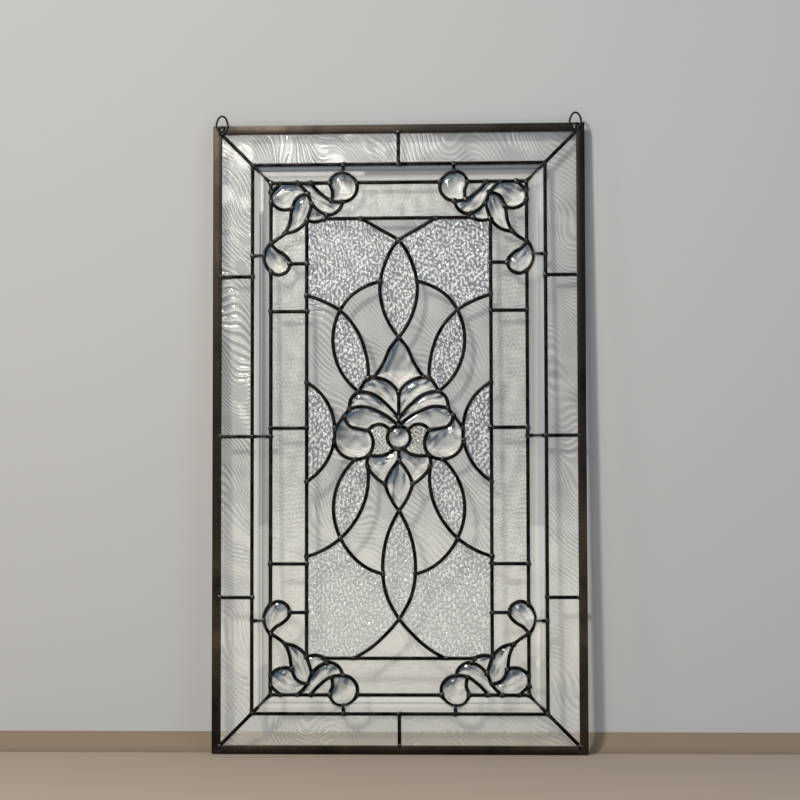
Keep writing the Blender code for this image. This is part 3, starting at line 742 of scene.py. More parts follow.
def ring_contains(ring: Array, point: tuple[float, float]) -> bool:
    """Tells whether a point is inside a ring, by counting crossings of a level ray.

    Args:
        ring: the ring's corners.
        point: a plan place.

    Returns:
        Whether it is inside.
    """
    x, z = ring[:, 0], ring[:, 1]
    next_x, next_z = np.roll(x, -1), np.roll(z, -1)
    spans = (z > point[1]) != (next_z > point[1])
    rise = np.where(spans, next_z - z, 1.0)
    crossing = x + (point[1] - z) * (next_x - x) / rise
    return int(np.sum(spans & (point[0] < crossing))) % 2 == 1


def inset_ring(ring: Array, shift: float) -> tuple[Array, Array]:
    """Moves every side of a ring inwards and finds the new corners.

    Sides that would turn over are left out, the one that turns over furthest first.

    Args:
        ring: counter-clockwise corners.
        shift: how far the sides move in.

    Returns:
        The new corners, and for each the number of the ring's side that starts there.
    """
    way = np.roll(ring, -1, axis=0) - ring
    way /= np.linalg.norm(way, axis=1)[:, None]
    start = ring + np.column_stack([-way[:, 1], way[:, 0]]) * shift
    kept = np.arange(len(ring))
    while len(kept) > 2:
        here, along = start[kept], way[kept]
        last, before = np.roll(here, 1, axis=0), np.roll(along, 1, axis=0)
        turn = before[:, 0] * along[:, 1] - before[:, 1] * along[:, 0]
        gap = here - last
        level = np.abs(turn) < 1e-4
        reach = (gap[:, 0] * along[:, 1] - gap[:, 1] * along[:, 0]) / np.where(level, 1.0, turn)
        corners = np.where(level[:, None], here, last + before * reach[:, None])
        forward = ((np.roll(corners, -1, axis=0) - corners) * along).sum(1)
        if forward.min() > 0.01 * MM:
            return corners, kept
        kept = np.delete(kept, int(forward.argmin()))
    raise ValueError("a cell is too small for its inset")


# Finishes

COLOUR_SOCKET = "NodeSocketColor"
NUMBER_SOCKET = "NodeSocketFloat"
# Attribute of the glass that carries its painted light and shade, from 0 in painted cool shade to 1 in
# painted warm light
SHINE = "shine"


class NodeTree:
    """Small helper that adds and links shader nodes."""

    def __init__(self, tree: bpy.types.NodeTree) -> None:
        """Keeps the tree that nodes are added to."""
        self.tree = tree

    def give(self, target: bpy.types.NodeSocket, value: object) -> None:
        """Links an output to an input, or sets the input to a number or colour.

        Args:
            target: the input.
            value: an output's socket, a number or a colour.
        """
        if isinstance(value, bpy.types.NodeSocket):
            self.tree.links.new(value, target)
        else:
            target.default_value = value

    def add(self, kind: str, **settings: object) -> bpy.types.Node:
        """Adds a node.

        Args:
            kind: the node's type name.
            settings: its properties, or what its inputs are given where no property has that name, with
                an underline for each space.

        Returns:
            The node.
        """
        node = self.tree.nodes.new(kind)
        for name, value in settings.items():
            if hasattr(node, name):
                setattr(node, name, value)
            else:
                self.give(node.inputs[name.replace("_", " ")], value)
        return node

    def math(self, operation: str, *values: object, clamp: bool = False) -> bpy.types.NodeSocket:
        """Adds a Math node.

        Args:
            operation: the sum it does.
            values: a socket or a number for each of its inputs.
            clamp: whether the result is held between 0 and 1.

        Returns:
            The result's socket.
        """
        node = self.add("ShaderNodeMath", operation=operation, use_clamp=clamp)
        for target, value in zip(node.inputs, values):
            self.give(target, value)
        return node.outputs[0]

    def mix(self, share: object, first: object, second: object) -> bpy.types.NodeSocket:
        """Adds a colour mix.

        Args:
            share: a socket or a number.
            first: the colour's socket shown at 0.
            second: the colour's socket shown at 1.

        Returns:
            The colour's socket.
        """
        node = self.add("ShaderNodeMix", data_type="RGBA")
        for number, value in ((0, share), (6, first), (7, second)):
            self.give(node.inputs[number], value)
        return node.outputs[2]

    def put_out(self, **sockets: bpy.types.NodeSocket) -> None:
        """Links sockets to the outputs of a node group."""
        for title, socket in sockets.items():
            self.give(self.tree.nodes["out"].inputs[title], socket)

    def dress(self, **values: object) -> bpy.types.NodeSocket:
        """Gives values to the material's own shader.

        Args:
            values: what each input is given, with an underline for each space in its name.

        Returns:
            The shader's socket.
        """
        shader = self.tree.nodes["Principled BSDF"]
        for title, value in values.items():
            self.give(shader.inputs[title.replace("_", " ")], value)
        return shader.outputs["BSDF"]

    def show_mix(self, share: bpy.types.NodeSocket, first: bpy.types.NodeSocket,
                 second: bpy.types.NodeSocket) -> None:
        """Shows a mix of two shaders as the material's surface.

        Args:
            share: from 0 for the first to 1 for the second.
            first: a shader's socket.
            second: a shader's socket.
        """
        mix = self.add("ShaderNodeMixShader", Fac=share)
        self.give(mix.inputs[1], first)
        self.give(mix.inputs[2], second)
        self.give(self.tree.nodes["Material Output"].inputs["Surface"], mix.outputs["Shader"])


def new_material(name: str) -> tuple[bpy.types.Material, NodeTree]:
    """Makes a material with nodes.

    Args:
        name: the material's name.

    Returns:
        The material, and the helper for its nodes.
    """
    material = bpy.data.materials.new(name)
    material.use_nodes = True
    return material, NodeTree(material.node_tree)


def new_group(name: str, inputs: dict[str, tuple[str, object]], outputs: dict[str, str]) -> NodeTree:
    """Makes a shader node group with named sockets.

    Args:
        name: the group's name.
        inputs: socket type and default value of each input.
        outputs: socket type of each output.

    Returns:
        The group's tree, with nodes called "in" and "out".
    """
    tree = bpy.data.node_groups.new(name, "ShaderNodeTree")
    for title, (kind, value) in inputs.items():
        socket = tree.interface.new_socket(title, in_out="INPUT", socket_type=kind)
        socket.default_value = value
    for title, kind in outputs.items():
        tree.interface.new_socket(title, in_out="OUTPUT", socket_type=kind)
    tree.nodes.new("NodeGroupInput").name = "in"
    tree.nodes.new("NodeGroupOutput").name = "out"
    return NodeTree(tree)


def patina_group() -> bpy.types.NodeTree:
    """Makes the shared patina of lead, solder, channel and wire.

    Cloudy noise on Object coordinates mixes a dark colour with a rubbed one, finer noise roughens it, and
    both together give the height of shallow dents.

    Returns:
        The node group.
    """
    group = new_group(
        "Patina",
        {"Dark": (COLOUR_SOCKET, (0.03, 0.03, 0.03, 1)), "Rubbed": (COLOUR_SOCKET, (0.1, 0.1, 0.1, 1)),
         "Cloud Scale": (NUMBER_SOCKET, 60.0), "Rubbing": (NUMBER_SOCKET, 0.5),
         "Smooth": (NUMBER_SOCKET, 0.3), "Dull": (NUMBER_SOCKET, 0.5)},
        {"Color": COLOUR_SOCKET, "Roughness": NUMBER_SOCKET, "Height": NUMBER_SOCKET})
    given = group.tree.nodes["in"].outputs
    place = group.add("ShaderNodeTexCoord").outputs["Object"]
    cloud = group.add("ShaderNodeTexNoise", Vector=place, Scale=given["Cloud Scale"], Detail=4.0,
                      Roughness=0.6).outputs["Fac"]
    grain = group.add("ShaderNodeTexNoise", Vector=place, Scale=900.0, Detail=2.0).outputs["Fac"]
    strong = group.math("MULTIPLY", group.math("SUBTRACT", cloud, 0.5), 2.6)
    level = group.math("ADD", strong, given["Rubbing"], clamp=True)
    mottled = group.math("MULTIPLY", level, group.math("ADD", grain, 0.45), clamp=True)
    span = group.math("SUBTRACT", given["Dull"], given["Smooth"])
    rough = group.math("MULTIPLY_ADD", group.math("SUBTRACT", 1.0, mottled), span, given["Smooth"])
    group.put_out(Color=group.mix(mottled, given["Dark"], given["Rubbed"]), Roughness=rough,
                  Height=group.math("ADD", cloud, group.math("MULTIPLY", grain, 0.25)))
    return group.tree


def glass_surface_group() -> bpy.types.NodeTree:
    """Makes the shared surface of the glass.

    The piece's "shine" attribute, its painted light and shade from 0 for cool shade to 1 for warm light,
    mixes two tints into the colour, and noise on Object coordinates gives the height of the finest grain and
    of slow waves.

    Returns:
        The node group.
    """
    group = new_group(
        "Glass surface",
        {"Shade Tint": (COLOUR_SOCKET, (0.4, 0.44, 0.5, 1)), "Light Tint": (COLOUR_SOCKET, (1, 1, 1, 1)),
         "Grain Scale": (NUMBER_SOCKET, 900.0), "Grain Height": (NUMBER_SOCKET, 0.2),
         "Wave Scale": (NUMBER_SOCKET, 30.0), "Wave Height": (NUMBER_SOCKET, 0.5)},
        {"Color": COLOUR_SOCKET, "Height": NUMBER_SOCKET})
    given = group.tree.nodes["in"].outputs
    place = group.add("ShaderNodeTexCoord").outputs["Object"]
    shine = group.add("ShaderNodeAttribute", attribute_name=SHINE).outputs["Fac"]
    grain = group.add("ShaderNodeTexNoise", Vector=place, Scale=given["Grain Scale"], Detail=2.0,
                      Roughness=0.55).outputs["Fac"]
    wave = group.add("ShaderNodeTexNoise", Vector=place, Scale=given["Wave Scale"],
                     Detail=1.0).outputs["Fac"]
    fine = group.math("MULTIPLY", grain, given["Grain Height"])
    slow = group.math("MULTIPLY", wave, given["Wave Height"])
    group.put_out(Color=group.mix(shine, given["Shade Tint"], given["Light Tint"]),
                  Height=group.math("ADD", fine, slow))
    return group.tree


@dataclass(frozen=True)
class MetalFinish:
    """Patinated metal: a dark ground, a rubbed colour and how far the rubbing goes."""

    name: str
    dark: Colour
    rubbed: Colour
    cloud_scale: float
    rubbing: float
    smooth: float
    dull: float
    dent: float

    def material(self, group: bpy.types.NodeTree) -> bpy.types.Material:
        """Makes the material.

        Args:
            group: the patina group.

        Returns:
            The material.
        """
        material, nodes = new_material(self.name)
        patina = nodes.add("ShaderNodeGroup", node_tree=group, Dark=(*self.dark, 1),
                           Rubbed=(*self.rubbed, 1), Cloud_Scale=self.cloud_scale, Rubbing=self.rubbing,
                           Smooth=self.smooth, Dull=self.dull).outputs
        bump = nodes.add("ShaderNodeBump", Strength=0.6, Distance=self.dent, Height=patina["Height"])
        nodes.dress(Metallic=1.0, Base_Color=patina["Color"], Roughness=patina["Roughness"],
                    Normal=bump.outputs["Normal"])
        return material


@dataclass(frozen=True)
class GlassFinish:
    """Clear glass: its tints of painted shade and painted light, its polish, how clear it is and its finest
    relief.
    """

    name: str
    shade: Colour
    light: Colour
    clearness: float
    roughness: float
    grain_scale: float
    grain_height: float
    wave_scale: float
    wave_height: float
    passed: Colour = (0.965, 0.97, 0.962)
    index: float = 1.52

    def material(self, group: bpy.types.NodeTree) -> bpy.types.Material:
        """Makes the material. Lamps and light from the wall pass straight through it, a little dimmed.

        Args:
            group: the glass surface group.

        Returns:
            The material.
        """
        material, nodes = new_material(self.name)
        surface = nodes.add("ShaderNodeGroup", node_tree=group, Shade_Tint=(*self.shade, 1),
                            Light_Tint=(*self.light, 1), Grain_Scale=self.grain_scale,
                            Grain_Height=self.grain_height, Wave_Scale=self.wave_scale,
                            Wave_Height=self.wave_height).outputs
        bump = nodes.add("ShaderNodeBump", Strength=1.0, Distance=1.0 * MM, Height=surface["Height"])
        glass = nodes.dress(Transmission_Weight=self.clearness, IOR=self.index, Roughness=self.roughness,
                            Base_Color=surface["Color"], Normal=bump.outputs["Normal"])
        clear = nodes.add("ShaderNodeBsdfTransparent", Color=(*self.passed, 1))
        path = nodes.add("ShaderNodeLightPath").outputs
        share = nodes.math("MAXIMUM", path["Is Shadow Ray"], path["Is Diffuse Ray"])
        nodes.show_mix(share, glass, clear.outputs["BSDF"])
        return material


METALS = {
    "lead": MetalFinish("Blackened lead", (0.002, 0.002, 0.002), (0.026, 0.0235, 0.021), cloud_scale=90,
                        rubbing=0.3, smooth=0.18, dull=0.4, dent=0.12 * MM),
    "solder": MetalFinish("Blackened solder", (0.005, 0.0049, 0.0048), (0.085, 0.081, 0.077),
                          cloud_scale=260, rubbing=0.3, smooth=0.18, dull=0.4, dent=0.2 * MM),
    "channel": MetalFinish("Bronze patina", (0.011, 0.0094, 0.0078), (0.05, 0.0395, 0.0305),
                           cloud_scale=14, rubbing=0.4, smooth=0.22, dull=0.34, dent=0.06 * MM),
    "wire": MetalFinish("Blackened wire", (0.008, 0.0076, 0.0073), (0.045, 0.043, 0.041),
                        cloud_scale=200, rubbing=0.35, smooth=0.22, dull=0.42, dent=0.1 * MM),
}
# The first colour of each glass is the tint of its painted shade, the second that of its painted light
GLASSES = {
    GlassKind.WAVY: GlassFinish(
        "Wavy clear glass", (0.1, 0.12, 0.15), (1.0, 1.0, 0.97), clearness=0.9, roughness=0.03,
        grain_scale=700, grain_height=0.004, wave_scale=40, wave_height=0.1),
    GlassKind.GRANITE: GlassFinish(
        "Granite glass", (0.1, 0.13, 0.18), (1, 0.995, 0.95), clearness=0.8, roughness=0.1,
        grain_scale=1100, grain_height=0.03, wave_scale=60, wave_height=0.1),
    GlassKind.FINE_GRAIN: GlassFinish(
        "Fine grained glass", (0.2, 0.22, 0.25), (1.0, 1.0, 0.95), clearness=0.88, roughness=0.12,
        grain_scale=1300, grain_height=0.035, wave_scale=60, wave_height=0.2),
    GlassKind.SEEDY: GlassFinish(
        "Seedy glass", (0.05, 0.06, 0.07), (1.0, 0.99, 0.93), clearness=0.86, roughness=0.1,
        grain_scale=1400, grain_height=0.05, wave_scale=80, wave_height=0.1),
    GlassKind.BEVEL: GlassFinish(
        "Polished bevelled glass", (0.033, 0.06, 0.1), (1.0, 0.99, 0.935), clearness=0.82,
        roughness=0.02, grain_scale=500, grain_height=0.002, wave_scale=35, wave_height=0.06),
}


def finish_piece(mesh: bpy.types.Mesh, material: bpy.types.Material, nodes: tuple[str, ...],
                 sharp_angle: float) -> bpy.types.Object:
    """Turns a mesh into a finished piece that rides on the panel.

    Args:
        mesh: the mesh, in place.
        material: its material.
        nodes: solids that the piece stands for.
        sharp_angle: angle between faces from which an edge is sharp, in radians.

    Returns:
        The piece.
    """
    mesh.shade_smooth()
    mesh.set_sharp_from_angle(angle=sharp_angle)
    mesh.materials.clear()
    mesh.materials.append(material)
    piece = bpy.data.objects.new(mesh.name, mesh)
    bpy.context.scene.collection.objects.link(piece)
    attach(piece, "root")
    if nodes:
        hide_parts(*nodes)
    LOG.info("%s: %d faces", piece.name, len(mesh.polygons))
    return piece


# Glass

# The way along which a slope of the glass is painted lightest: down, and a little to the right
LIT_WAY = (0.42, -0.91)
# Swirls in the wavy glass: place across and up, reach and how far they bend the ridges, in mm
SWIRLS = ((-146, 374, 32, 29), (35, 372, 28, 22), (128, 440, 30, -24), (228, 280, 26, 22),
          (-236, 140, 36, 20), (236, -72, 28, 22), (-150, -412, 28, 22), (60, -436, 28, -20),
          (236, -330, 36, -22), (-236, -250, 32, -18))
# Painted light and shade of the bevelled strips in nine bands from the inner edge out: three on the inner
# bevel, three on the flat and three on the outer bevel, for the strip's axis and its side of the middle
STRIP_LIGHT = {
    (0, -1): (0.46, 0.44, 0.28, 0.18, 0.52, 0.22, 0.78, 0.9, 1.0),
    (0, 1): (0.5, 0.56, 0.68, 0.76, 0.88, 0.78, 0.5, 0.6, 0.5),
    (1, 1): (0.45, 0.6, 0.48, 0.32, 0.36, 0.24, 0.1, 0.16, 0.08),
    (1, -1): (1.0, 1.0, 0.7, 0.4, 0.95, 1.0, 0.95, 0.75, 0.8),
}


def painted_panel_light(across: Array, up: Array) -> Array:
    """Works out the painted light of the glass: how much lighter it is painted low down, and how much darker
    to the right.
    """
    return 0.36 * smooth_step(-up, -60 * MM, 320 * MM) - 0.13 * smooth_step(across, 0.0, 0.24)


def write_shine(mesh: bpy.types.Mesh, values: Array, domain: str) -> None:
    """Writes the painted light and shade of each vertex (POINT) or face (FACE) into the mesh's attribute."""
    attribute = mesh.attributes.new(SHINE, "FLOAT", domain)
    attribute.data.foreach_set("value", np.clip(values, 0, 1).astype(np.float32))


@dataclass(frozen=True)
class Relief:
    """Rolled relief on the front of one kind of glass, as a height over the plan."""

    spacing: float
    height: float
    # How strongly slope and height paint light and shade on the glass, and the painted level of a flat
    slope_shine: float
    height_shine: float
    middle: float
    probe: float = 0.35 * MM

    def share(self, across: Array, up: Array) -> Array:
        """Works out the relief from 0 in the hollows to 1 on the crests, flat unless a kind shapes it."""
        return np.full(np.broadcast(across, up).shape, 0.5)

    def shine(self, across: Array, up: Array) -> Array:
        """Works out the painted light and shade of the relief, by its slope along the lit way and by its
        height.

        Args:
            across: plan places across.
            up: plan places up.

        Returns:
            The shine at each place.
        """
        step = self.probe * np.array(LIT_WAY)
        fall = self.share(across - step[0], up - step[1]) - self.share(across + step[0], up + step[1])
        slope = fall * self.height / (2 * self.probe)
        height = self.share(across, up) - 0.5
        return self.middle + self.slope_shine * slope + self.height_shine * height + painted_panel_light(across, up)

    def slab(self, low: Array, high: Array, sizes: PanelSizes) -> bpy.types.Mesh:
        """Makes a slab of glass over a rectangle: a grid of heights in front, flat behind.

        The front's depth is half of the thickness plus the height times the share less a half.

        Args:
            low: the rectangle's lowest corner in the plan.
            high: its highest corner.
            sizes: the panel's sizes.

        Returns:
            The slab's mesh, closed.
        """
        columns, rows = (np.ceil((high - low) / self.spacing).astype(int) + 1)
        across, up = np.meshgrid(np.linspace(low[0], high[0], columns), np.linspace(low[1], high[1], rows))
        share = np.clip(self.share(across, up), 0, 1)
        depth = sizes.glass_thickness / 2 + self.height * (share - 0.5)
        front = sizes.place(np.stack([across, up], axis=-1), depth).reshape(-1, 3)
        corners = np.array([(low[0], low[1]), (high[0], low[1]), (high[0], high[1]), (low[0], high[1])])
        back = sizes.place(corners, -sizes.glass_thickness / 2)
        count = rows * columns
        bottom = np.arange(columns)
        right = np.arange(rows) * columns + columns - 1
        top = np.arange(columns)[::-1] + (rows - 1) * columns
        left = np.arange(rows)[::-1] * columns
        walls = [np.concatenate([edge[::-1], [count + i, count + (i + 1) % 4]])[None, :]
                 for i, edge in enumerate((bottom, right, top, left))]
        base = (count + np.arange(4)[::-1])[None, :]
        return new_mesh("slab", np.vstack([front, back]), [grid_quads(rows, columns), *walls, base])

    def mark(self, mesh: bpy.types.Mesh, sizes: PanelSizes) -> None:
        """Writes the painted light and shade at the mesh's final vertices, and full painted light on the
        flat back.

        Args:
            mesh: the pane's mesh, cut to its outline.
            sizes: the panel's sizes.
        """
        places = read_places(mesh.vertices, "co")
        values = self.shine(places[:, 0], places[:, 2] - sizes.middle_z)
        write_shine(mesh, np.where(places[:, 1] > sizes.middle_y, 1.0, values), "POINT")


@dataclass(frozen=True)
class WavyRelief(Relief):
    """Bundles of fine ridges that bend round swirls, in patches that are stronger to the left."""

    swirls: tuple[tuple[float, ...], ...] = SWIRLS
    bends: Waves = Waves(3, 50 * MM, 140 * MM, 1.3, 9)
    bend_reach: float = 5.5 * MM
    ramp: tuple[float, float] = (0.5, 0.55)
    ridge_gap: float = 4.6 * MM
    crest_narrowing: float = 1.8
    patches: Waves = Waves(8, 24 * MM, 66 * MM, 1.2, 10)
    weakest: float = 0.42
    stronger_left: float = 0.5
    swells: Waves = Waves(5, 24 * MM, 60 * MM)

    def share(self, across: Array, up: Array) -> Array:
        """Works out the ridges: a sine of a straight ramp, raised to a power to narrow its crests.

        The ramp is bent by slow noise and by a round swell at each swirl.

        Args:
            across: plan places across.
            up: plan places up.

        Returns:
            The share of the full height at each place.
        """
        shape = across.shape
        x, z, reach, lift = MM * np.array(self.swirls).T[:, :, None, None]
        across, up = np.atleast_2d(across), np.atleast_2d(up)
        near = np.exp(-((across - x)**2 + (up - z)**2) / (2 * reach**2))
        bend = self.bend_reach * self.bends.at(across, up) + (lift * near).sum(0)
        ramp = self.ramp[0] * across + self.ramp[1] * up + bend
        ridge = (0.5 + 0.5 * np.sin(2 * math.pi * ramp / self.ridge_gap))**self.crest_narrowing
        patch = np.minimum(smooth_step(self.patches.at(across, up), -1.6, 0.7) + near.sum(0), 1)
        patch = patch * (self.weakest + self.stronger_left * smooth_step(-across, 0.0, 0.22))
        return (0.45 + 0.8 * (ridge - 0.4) * patch + 0.05 * self.swells.at(across, up)).reshape(shape)


@dataclass(frozen=True)
class GraniteRelief(Relief):
    """Upright pebbles, the peaks of noise, in loose clumps."""

    pebbles: Waves = Waves(21, 3.8 * MM, 7.0 * MM, 1.65, 44)
    seeds: Waves = Waves(22, 2.6 * MM, 4.0 * MM, 1.4, 24)
    clumps: Waves = Waves(23, 11 * MM, 30 * MM, 1.2, 12)
    seed_share: float = 0.7
    clump_share: float = 0.28
    hollow: float = -0.35
    crest: float = 2.0

    def share(self, across: Array, up: Array) -> Array:
        """Works out the pebbles: a smooth step from the hollow to the crest of three noises' sum."""
        noise = (self.pebbles.at(across, up) + self.seed_share * self.seeds.at(across, up)
                 + self.clump_share * self.clumps.at(across, up))
        return smooth_step(noise, self.hollow, self.crest)


@dataclass(frozen=True)
class SeedyRelief(Relief):
    """Small round seeds, close together."""

    seeds: Waves = Waves(27, 3.0 * MM, 5.6 * MM, 1.0, 26)
    steepness: float = 1.2

    def share(self, across: Array, up: Array) -> Array:
        """Works out the seeds: a hyperbolic tangent of noise, which flattens their tops."""
        return 0.5 + 0.5 * np.tanh(self.steepness * self.seeds.at(across, up))


@dataclass(frozen=True)
class FineGrainRelief(Relief):
    """A shallow fine grain on slow swells."""

    grain: Waves = Waves(33, 3.0 * MM, 6.0 * MM, 1.2, 22)
    swells: Waves = Waves(35, 18 * MM, 40 * MM)
    grain_share: float = 0.16
    swell_share: float = 0.12

    def share(self, across: Array, up: Array) -> Array:
        """Works out the grain as the sum of two noises."""
        return (0.5 + self.grain_share * self.grain.at(across, up)
                + self.swell_share * self.swells.at(across, up))


RELIEFS = {
    GlassKind.WAVY: WavyRelief(spacing=1.0 * MM, height=0.6 * MM, slope_shine=1.5, height_shine=1.1,
                               middle=0.76),
    GlassKind.GRANITE: GraniteRelief(spacing=0.9 * MM, height=0.75 * MM, slope_shine=0.8,
                                     height_shine=1.45, middle=0.82),
    GlassKind.FINE_GRAIN: FineGrainRelief(spacing=1.3 * MM, height=0.35 * MM, slope_shine=1.4,
                                          height_shine=0.7, middle=0.72),
    GlassKind.SEEDY: SeedyRelief(spacing=0.7 * MM, height=0.6 * MM, slope_shine=0.9, height_shine=1.1,
                                 middle=0.6),
}


@dataclass(frozen=True)
class DomeLight:
    """How strongly each cause paints light or shade on a small bevelled pane."""

    middle: float = 0.56
    lean: float = 0.56
    place: float = 0.26
    cloud: float = 0.17
    streak: float = 0.46
    panel: float = 0.2
    flattening: float = 0.68

    def shine(self, ring: Array, share: float, outline: Array) -> Array:
        """Works out the painted light and shade on one ring of the pane.

        It follows the slope along the lit way and the place along it, with cloudy patches of painted light
        and, the longer the pane is, painted streaks of reflection along its long axis.

        Args:
            ring: the ring's places.
            share: how far in the ring is, from 0 at the edge to 1 at the middle.
            outline: the pane's outline.

        Returns:
            The shine at each corner of the ring.
        """
        centre = outline.mean(0)
        seed = int(1000 * abs(centre).sum() / MM) % 9973
        spread, axes = np.linalg.svd(outline - centre, full_matrices=False)[1:]
        along, beside = ((ring - centre) @ axes.T).T
        reach = np.linalg.norm(outline - centre, axis=1).max()
        way = -path_sides(ring, closed=True) @ np.array(LIT_WAY)
        lean = self.lean * way * math.cos(share * math.pi / 2 * self.flattening)
        place = self.place * ((ring - centre) @ np.array(LIT_WAY)) / reach
        cloud = self.cloud * Waves(seed, 12 * MM, 34 * MM, 1.0, 6).at(ring[:, 0], ring[:, 1])
        streak = Waves(seed + 1, 4.5 * MM, 12 * MM, 6.0, 7).at(beside, along)
        length = self.streak * (1 - spread[1] / spread[0])
        panel = self.panel * painted_panel_light(ring[:, 0], ring[:, 1])
        return self.middle + lean + place + cloud + length * streak + panel


@dataclass
class GlassPanes:
    """All the pieces of glass, each cut to its cell of the lead plan."""

    sizes: PanelSizes
    plan: LeadPlan
    materials: dict[GlassKind, bpy.types.Material]
    bevel_width: float = 7.5 * MM
    dome_width: float = 10.5 * MM
    bevel_edge: float = 2.0 * MM
    bevel_middle: float = 4.6 * MM
    narrowing: float = 0.94
    finest_step: float = 1.6 * MM
    dome_rings: int = 8
    dome_light: DomeLight = DomeLight()
    strip_panel_light: float = 0.4
    bevel_sharp: float = math.radians(14)
    relief_sharp: float = math.radians(70)

    def outline(self, ring: Array) -> Array:
        """Finds a pane's outline, which stops short of the hearts of the cames by the fit gap."""
        return inset_ring(ring, self.sizes.came_heart / 2 + self.sizes.fit_gap)[0]

    def pane_nodes(self) -> list[str]:
        """Lists the solids that are panes."""
        return [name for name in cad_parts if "glass" in name or name.startswith(("bevel", "jewel"))]

    def match_nodes(self, rings: list[Array]) -> dict[str, int]:
        """Finds each pane node's cell, the one whose outline has the most similar box.

        Args:
            rings: all cells of the plan.

        Returns:
            The cell's number for each node.
        """
        boxes = []
        for ring in rings:
            outline = self.outline(ring)
            boxes.append(np.concatenate([outline.min(0), outline.max(0)]))
        found = {}
        for name in self.pane_nodes():
            low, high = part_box(name)
            box = np.array([low.x, low.z - self.sizes.middle_z, high.x, high.z - self.sizes.middle_z])
            found[name] = int(np.abs(np.array(boxes) - box).sum(1).argmin())
        return found

    def node_kind(self, name: str) -> GlassKind:
        """Reads a pane node's kind of glass from its name.

        Args:
            name: the node's name.

        Returns:
            The kind.
        """
        for start, kind in (("granite", GlassKind.GRANITE), ("inner_band", GlassKind.FINE_GRAIN),
                            ("bevel", GlassKind.BEVEL), ("jewel", GlassKind.BEVEL)):
            if name.startswith(start):
                return kind
        return GlassKind.WAVY

    def small_panes(self) -> dict[str, tuple[tuple[float, float], GlassKind]]:
        """Lists the panes that have no node of their own.

        Returns:
            For each name a point inside the pane and its kind of glass.
        """
        panes = {}
        for title, (point, kind) in SPRAY_PANES.items():
            for side, side_name in SIDE_NAMES.items():
                for end, end_name in END_NAMES.items():
                    place = self.plan.corner_point(*point, side, end)
                    panes[f"spray_{title}_{end_name}_{side_name}"] = (place, kind)
        for title, (point, kind) in FIELD_PANES.items():
            panes[f"centre_{title}"] = (self.plan.field_point(*point), kind)
        for title, (point, kind) in FIELD_SIDE_PANES.items():
            across, up = self.plan.field_point(*point)
            panes[f"centre_{title}_left"] = ((across, up), kind)
            panes[f"centre_{title}_right"] = ((-across, up), kind)
        return panes

    def build(self) -> None:
        """Cuts every pane of the plan."""
        rings = self.plan.cells()
        nodes = self.match_nodes(rings)
        left = set(range(len(rings))) - set(nodes.values())
        for name, number in nodes.items():
            self.cut(f"cut_{name}", rings[number], self.node_kind(name), (name,))
        for name, (point, kind) in self.small_panes().items():
            number = next(i for i in left if ring_contains(rings[i], point))
            left.remove(number)
            self.cut(name, rings[number], kind, ())
        for count, number in enumerate(sorted(left), start=1):
            self.cut(f"short_band_pane_{count}", rings[number], GlassKind.FINE_GRAIN, ())

    def cut(self, name: str, ring: Array, kind: GlassKind, nodes: tuple[str, ...]) -> None:
        """Makes one pane, bevelled or rolled by its kind.

        Args:
            name: the piece's name.
            ring: its cell of the plan.
            kind: its kind of glass.
            nodes: the solid it stands for, if it has one.
        """
        outline = self.outline(ring)
        if name.startswith("cut_bevel"):
            mesh = self.strip(name, outline)
        elif kind is GlassKind.BEVEL:
            mesh = self.domed(name, outline)
        else:
            mesh = self.rolled(name, outline, RELIEFS[kind])
        angle = self.bevel_sharp if kind is GlassKind.BEVEL else self.relief_sharp
        finish_piece(mesh, self.materials[kind], nodes, angle)

    @property
    def hidden(self) -> float:
        """Width of the pane's edge that lies in the came."""
        return (self.sizes.came_face - self.sizes.came_heart) / 2 - self.sizes.fit_gap

    def strip(self, name: str, outline: Array) -> bpy.types.Mesh:
        """Cuts a strip of the bevel border: a long bar with a bevel on each side, inside its outline.

        Each bevel and the flat between them are cut into bands along the strip, each with its own painted
        light or shade, standing in for how the inside of thick glass shares the light unevenly.

        Args:
            name: the mesh's name.
            outline: the pane's outline.

        Returns:
            The mesh.
        """
        low, high = outline.min(0), outline.max(0)
        axis = 0 if (high - low)[0] < (high - low)[1] else 1
        sign = math.copysign(1, (low + high)[axis])
        inset = self.sizes.came_heart / 2 + self.sizes.fit_gap
        inner = self.sizes.bevel_half[axis] + inset
        outer = self.sizes.outer_half[axis] - inset
        slope = self.hidden + self.bevel_width
        stops = np.array([0, 0.42, 0.74, 1])
        flat = np.linspace(inner + slope, outer - slope, 4)[1:-1]
        across = np.concatenate([inner + slope * stops, flat, outer - slope * stops[::-1]])
        climb = np.concatenate([stops, [1, 1], stops[::-1]])
        thick = self.bevel_edge + (self.bevel_middle - self.bevel_edge) * climb
        back = -self.sizes.glass_thickness / 2
        section = np.vstack([np.column_stack([across, back + thick]),
                             [(outer, back), (inner, back)]])
        ends = np.array([low[1 - axis] - MM, high[1 - axis] + MM])
        plan = np.empty((2, len(section), 2))
        plan[..., axis] = sign * section[None, :, 0]
        plan[..., 1 - axis] = ends[:, None]
        vertices = self.sizes.place(plan, section[None, :, 1]).reshape(-1, 3)
        bar = new_mesh("bar", vertices, bar_polygons(2, len(section)))
        turn_faces_out(bar)
        mesh = cut_out(name, bar, self.prism(outline))
        self.mark_bands(mesh, across, axis, int(sign))
        return mesh

